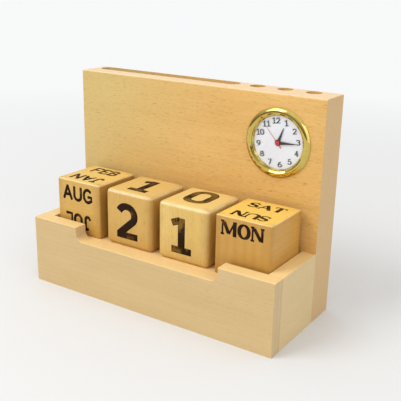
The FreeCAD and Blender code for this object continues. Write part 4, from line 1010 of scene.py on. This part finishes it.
@dataclass
class CalendarCube:
    """The words of a loose cube, each with its face and spot."""

    node: str
    style: LetterStyle
    height_mm: float
    words: Words
    ink: str = "burnt_lettering"

    def faces(self) -> dict[str, Face]:
        """Find the faces of the cube.

        Returns:
            The six faces by name.
        """
        middle, half = box(self.node)
        right, back, up = Vector((1, 0, 0)), Vector((0, 1, 0)), Vector((0, 0, 1))
        sides = {"front": (-back, right, up), "back": (back, -right, up), "right": (right, back, up),
                 "left": (-right, -back, up), "top": (up, right, back), "bottom": (-up, right, -back)}
        return {name: Face(middle + out * abs(half.dot(out)), across, along)
                for name, (out, across, along) in sides.items()}

    def build(self) -> None:
        """Letter the cube."""
        faces = self.faces()
        words = [faces[face].word(text, self.style, self.height_mm, spot) for face, text, spot in self.words]
        letter(self.node + "_lettering", words, self.ink, self.node)


def centred(**texts: str) -> Words:
    """Return one word in the middle of each named face."""
    return tuple((face, text, Spot()) for face, text in texts.items())


def month_words(above_mm: float = 8.2) -> Words:
    """Write the twelve months, two on each face.

    Args:
        above_mm: distance of a month from the face's middle.

    Returns:
        The words, on each face one upright above and one upside down below.
    """
    pairs = {"front": ("AUG", "JUL"), "top": ("FEB", "JAN"), "right": ("MAR", "APR"),
             "left": ("MAY", "JUN"), "back": ("SEP", "OCT"), "bottom": ("NOV", "DEC")}
    along_mm = {"front": -0.7, "right": 2.2}
    words = []
    for face, (upper, lower) in pairs.items():
        along = along_mm.get(face, 0.0)
        words += [(face, upper, Spot(along, above_mm)), (face, lower, Spot(along, -above_mm, True))]
    return tuple(words)


CALENDAR = (
    CalendarCube("month_cube", LetterStyle.MONTH, 9.3, month_words(), "dark_burnt_lettering"),
    CalendarCube("tens_cube", LetterStyle.DIGIT, 21.5, (
        ("front", "2", Spot(-0.6, -0.6)), ("top", "1", Spot(1.0, 0.1)),
        *centred(right="3", left="0", back="4", bottom="5")), "dark_burnt_lettering"),
    CalendarCube("units_cube", LetterStyle.DIGIT, 21.5, (
        ("front", "1", Spot(-0.6, -0.6)), ("top", "0", Spot(-0.1, 1.8)),
        *centred(right="2", left="6", back="7", bottom="8"))),
    CalendarCube("weekday_cube", LetterStyle.WEEKDAY, 7.9, (
        ("front", "MON", Spot(-0.5, 9.9)), ("top", "SAT", Spot(0.2, 8.0)),
        ("top", "SUN", Spot(-0.2, -8.0, True)), ("back", "TUE", Spot(0.0, 8.0)),
        ("back", "WED", Spot(0.0, -8.0, True)), ("left", "THU", Spot(0.0, 10.0)),
        ("bottom", "FRI", Spot(0.0, 10.0))), "burnt_serif_lettering"),
)


@dataclass
class ClockInsert:
    """The round quartz insert: the print of its dial and the cap of its second hand.

    Attributes:
        print_turn: turn of the print on the dial, in degrees.
        cap_insets, cap_rises_mm: steps of the cap's dome, as shares of its radius and in height.
    """

    numeral_ring_mm: float = 11.55
    numeral_height_mm: float = 3.4
    print_relief_mm: float = 0.03
    print_turn: float = 8.4
    hub_cap_mm: float = 1.1
    cap_depth_mm: float = 0.16
    cap_out_mm: float = 0.06
    cap_insets: Pair = (0.35, 0.3)
    cap_rises_mm: Pair = (0.05, 0.02)

    def build(self) -> None:
        """Print the dial and cap the second hand."""
        self.print_dial()
        self.cap_second_hand()

    def print_dial(self) -> None:
        """Print the twelve numerals on the dial."""
        middle = box("dial")[0]
        middle.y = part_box("dial")[0][1]
        lean = radians(self.print_turn)
        right = Vector((cos(lean), 0, sin(lean)))
        up = Vector((-sin(lean), 0, cos(lean)))
        reach, words = self.numeral_ring_mm * MM, []
        for hour in range(1, 13):
            turn = radians(90 - 30 * hour)
            at = middle + (right * cos(turn) + up * sin(turn)) * reach
            words.append(Word(str(hour), LetterStyle.DIAL, self.numeral_height_mm, at, right, up,
                              self.print_relief_mm))
        letter("dial_numerals", words, "dial_ink", "clock_insert")

    def cap_second_hand(self) -> None:
        """Add the domed cap over the hub of the second hand."""
        middle = box("dial")[0]
        middle.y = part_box("second_hand")[0][1] - self.cap_out_mm * MM
        radius = self.hub_cap_mm * MM
        deselect()
        bpy.ops.mesh.primitive_cylinder_add(vertices=40, radius=radius, depth=self.cap_depth_mm * MM,
                                            location=middle, rotation=(radians(90), 0, 0))
        cap = bpy.context.object
        bpy.ops.object.transform_apply()
        switch("EDIT")
        bpy.ops.mesh.select_all(action="DESELECT")
        switch("OBJECT")
        for polygon in cap.data.polygons:
            polygon.select = polygon.normal.y < -0.9
        switch("EDIT")
        for inset, rise_mm in zip(self.cap_insets, self.cap_rises_mm):
            bpy.ops.mesh.inset(thickness=radius * inset)
            bpy.ops.transform.translate(value=(0, -rise_mm * MM, 0))
        switch("OBJECT")
        bpy.ops.object.shade_smooth_by_angle(angle=radians(40))
        cap.name = cap.data.name = "second_hand_cap"
        dress(cap, finish("red_paint"))
        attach(cap, "second_hand")
        LOG.info("piece second_hand_cap")


@dataclass(frozen=True)
class Lamp:
    """A soft square lamp that looks at the object, with its place and edge in metres."""

    name: str
    at: Triple
    watts: float
    size: float
    aim: Triple = (0.0, 0.0, 0.06)

    def build(self) -> None:
        """Hang the lamp."""
        data = bpy.data.lights.new(self.name, "AREA")
        data.energy = self.watts
        data.size = self.size
        lamp = bpy.data.objects.new(self.name, data)
        lamp.location = self.at
        lamp.rotation_euler = (Vector(self.aim) - Vector(self.at)).to_track_quat("-Z", "Y").to_euler()
        bpy.context.scene.collection.objects.link(lamp)


@dataclass
class Studio:
    """Pale floor, plain world, soft lamps and the camera of the photo's view.

    Attributes:
        fade_m: where the floor starts to fade into the background, and where it is gone.
        sky_heights, sky_shares: heights between which the world's light grows, and its shares there.
        azimuth, elevation, roll: the camera's turns in degrees.
        offset_mm: the camera's place from the target, to its left, below and back.
    """

    floor_m: float = 24.0
    floor_colour: Colour = (0.745, 0.742, 0.736)
    background: Colour = (0.94, 0.945, 0.95)
    fade_m: Pair = (0.17, 0.75)
    ambient: float = 0.59
    sky_heights: Pair = (0.02, 0.8)
    sky_shares: Pair = (0.34, 1.85)
    key: Lamp = Lamp("key_light", (-0.55, -0.75, 0.95), 7.7, 0.7)
    fill: Lamp = Lamp("fill_light", (0.9, -0.5, 0.45), 2.4, 0.8)
    azimuth: float = 33.2094
    elevation: float = 18.201
    roll: float = 1.2067
    focal_px: float = 702.9948
    image_px: float = 401.0
    sensor_mm: float = 36.0
    target_mm: Triple = (0.0, 2.0, 52.0)
    offset_mm: Triple = (-11.6022, -4.3545, 397.6001)

    def build(self) -> None:
        """Build floor, light and camera."""
        self.floor()
        self.world()
        self.key.build()
        self.fill.build()
        self.camera()

    def floor(self) -> None:
        """Lay the pale floor, which fades into the pale background around the object."""
        deselect()
        bpy.ops.mesh.primitive_plane_add(size=self.floor_m, location=(0, 0, 0))
        floor = bpy.context.object
        floor.name = floor.data.name = "studio_floor"
        plan = SurfacePlan("pale_floor")
        cloud = plan.noise(plan.place((0.004, 0.004, 0.004)))
        tone = plan.blend(cloud, self.floor_colour, shaded(self.floor_colour, 0.985))
        plan.set(Base_Color=tone, Roughness=0.9, Specular_IOR_Level=0.1)
        reach = plan.add("ShaderNodeVectorMath", operation="LENGTH")
        plan.feed(reach.inputs[0], plan.coordinates["Object"])
        far = plan.maths("MULTIPLY", plan.level(reach.outputs["Value"], *self.fade_m), self.seen(plan))
        glow = plan.fill(plan.add("ShaderNodeEmission"), Color=self.background)
        mix = plan.add("ShaderNodeMixShader")
        for target, value in zip(mix.inputs, (far, plan.shader.outputs["BSDF"], glow.outputs["Emission"])):
            plan.feed(target, value)
        output = next(node for node in plan.tree.nodes if node.type == "OUTPUT_MATERIAL")
        plan.fill(output, Surface=mix.outputs["Shader"])
        dress(floor, plan.material)

    def seen(self, plan: NodePlan) -> Socket:
        """Return 1 where the camera sees a surface, also in metal and through the lens."""
        rays, kinds = plan.add("ShaderNodeLightPath").outputs, ("Camera", "Glossy", "Transmission")
        return plan.maths("MAXIMUM", *(rays[f"Is {kind} Ray"] for kind in kinds))

    def world(self) -> None:
        """Light the scene evenly and show a pale background to the camera."""
        world = bpy.data.worlds.new("studio_world")
        bpy.context.scene.world = world
        world.use_nodes = True
        plan = NodePlan(world.node_tree)
        height = plan.split(plan.coordinates["Generated"])[2]
        overhead = plan.level(height, *self.sky_heights, shaded(self.sky_shares, self.ambient), "SMOOTHSTEP")
        camera_ray = plan.add("ShaderNodeLightPath").outputs["Is Camera Ray"]
        strength = plan.level(camera_ray, 0.0, 1.0, (overhead, 1.0))
        plan.fill(plan.tree.nodes["Background"], Color=self.background, Strength=strength)

    def camera(self) -> None:
        """Place the camera as fitted to the photo."""
        azimuth, elevation, roll = (radians(turn) for turn in (self.azimuth, self.elevation, self.roll))
        level = cos(elevation)
        back = Vector((sin(azimuth) * level, -cos(azimuth) * level, sin(elevation)))
        right = (-back).cross(Vector((0, 0, 1))).normalized()
        up = right.cross(-back)
        turned_right = right * cos(roll) + up * sin(roll)
        turned_up = up * cos(roll) - right * sin(roll)
        x, y, z = self.offset_mm
        at = Vector(self.target_mm) - turned_right * x - turned_up * y + back * z
        data = bpy.data.cameras.new("photo_camera")
        data.sensor_width = self.sensor_mm
        data.lens = self.focal_px / self.image_px * self.sensor_mm
        data.clip_start = 0.01
        camera = bpy.data.objects.new("photo_camera", data)
        turn = Matrix((turned_right, turned_up, back)).transposed().to_4x4()
        camera.matrix_world = Matrix.Translation(at * MM) @ turn
        bpy.context.scene.collection.objects.link(camera)
        bpy.context.scene.camera = camera


def main() -> None:
    """Build every part of the scene in order."""
    logging.basicConfig(level=logging.INFO, format="%(name)s: %(message)s")
    bpy.context.scene.view_settings.view_transform = "Standard"
    dress_nodes()
    for part in (Studio(), *CALENDAR, ClockInsert()):
        part.build()
        LOG.info("built %s", type(part).__name__)


if __name__ == "__main__":
    main()
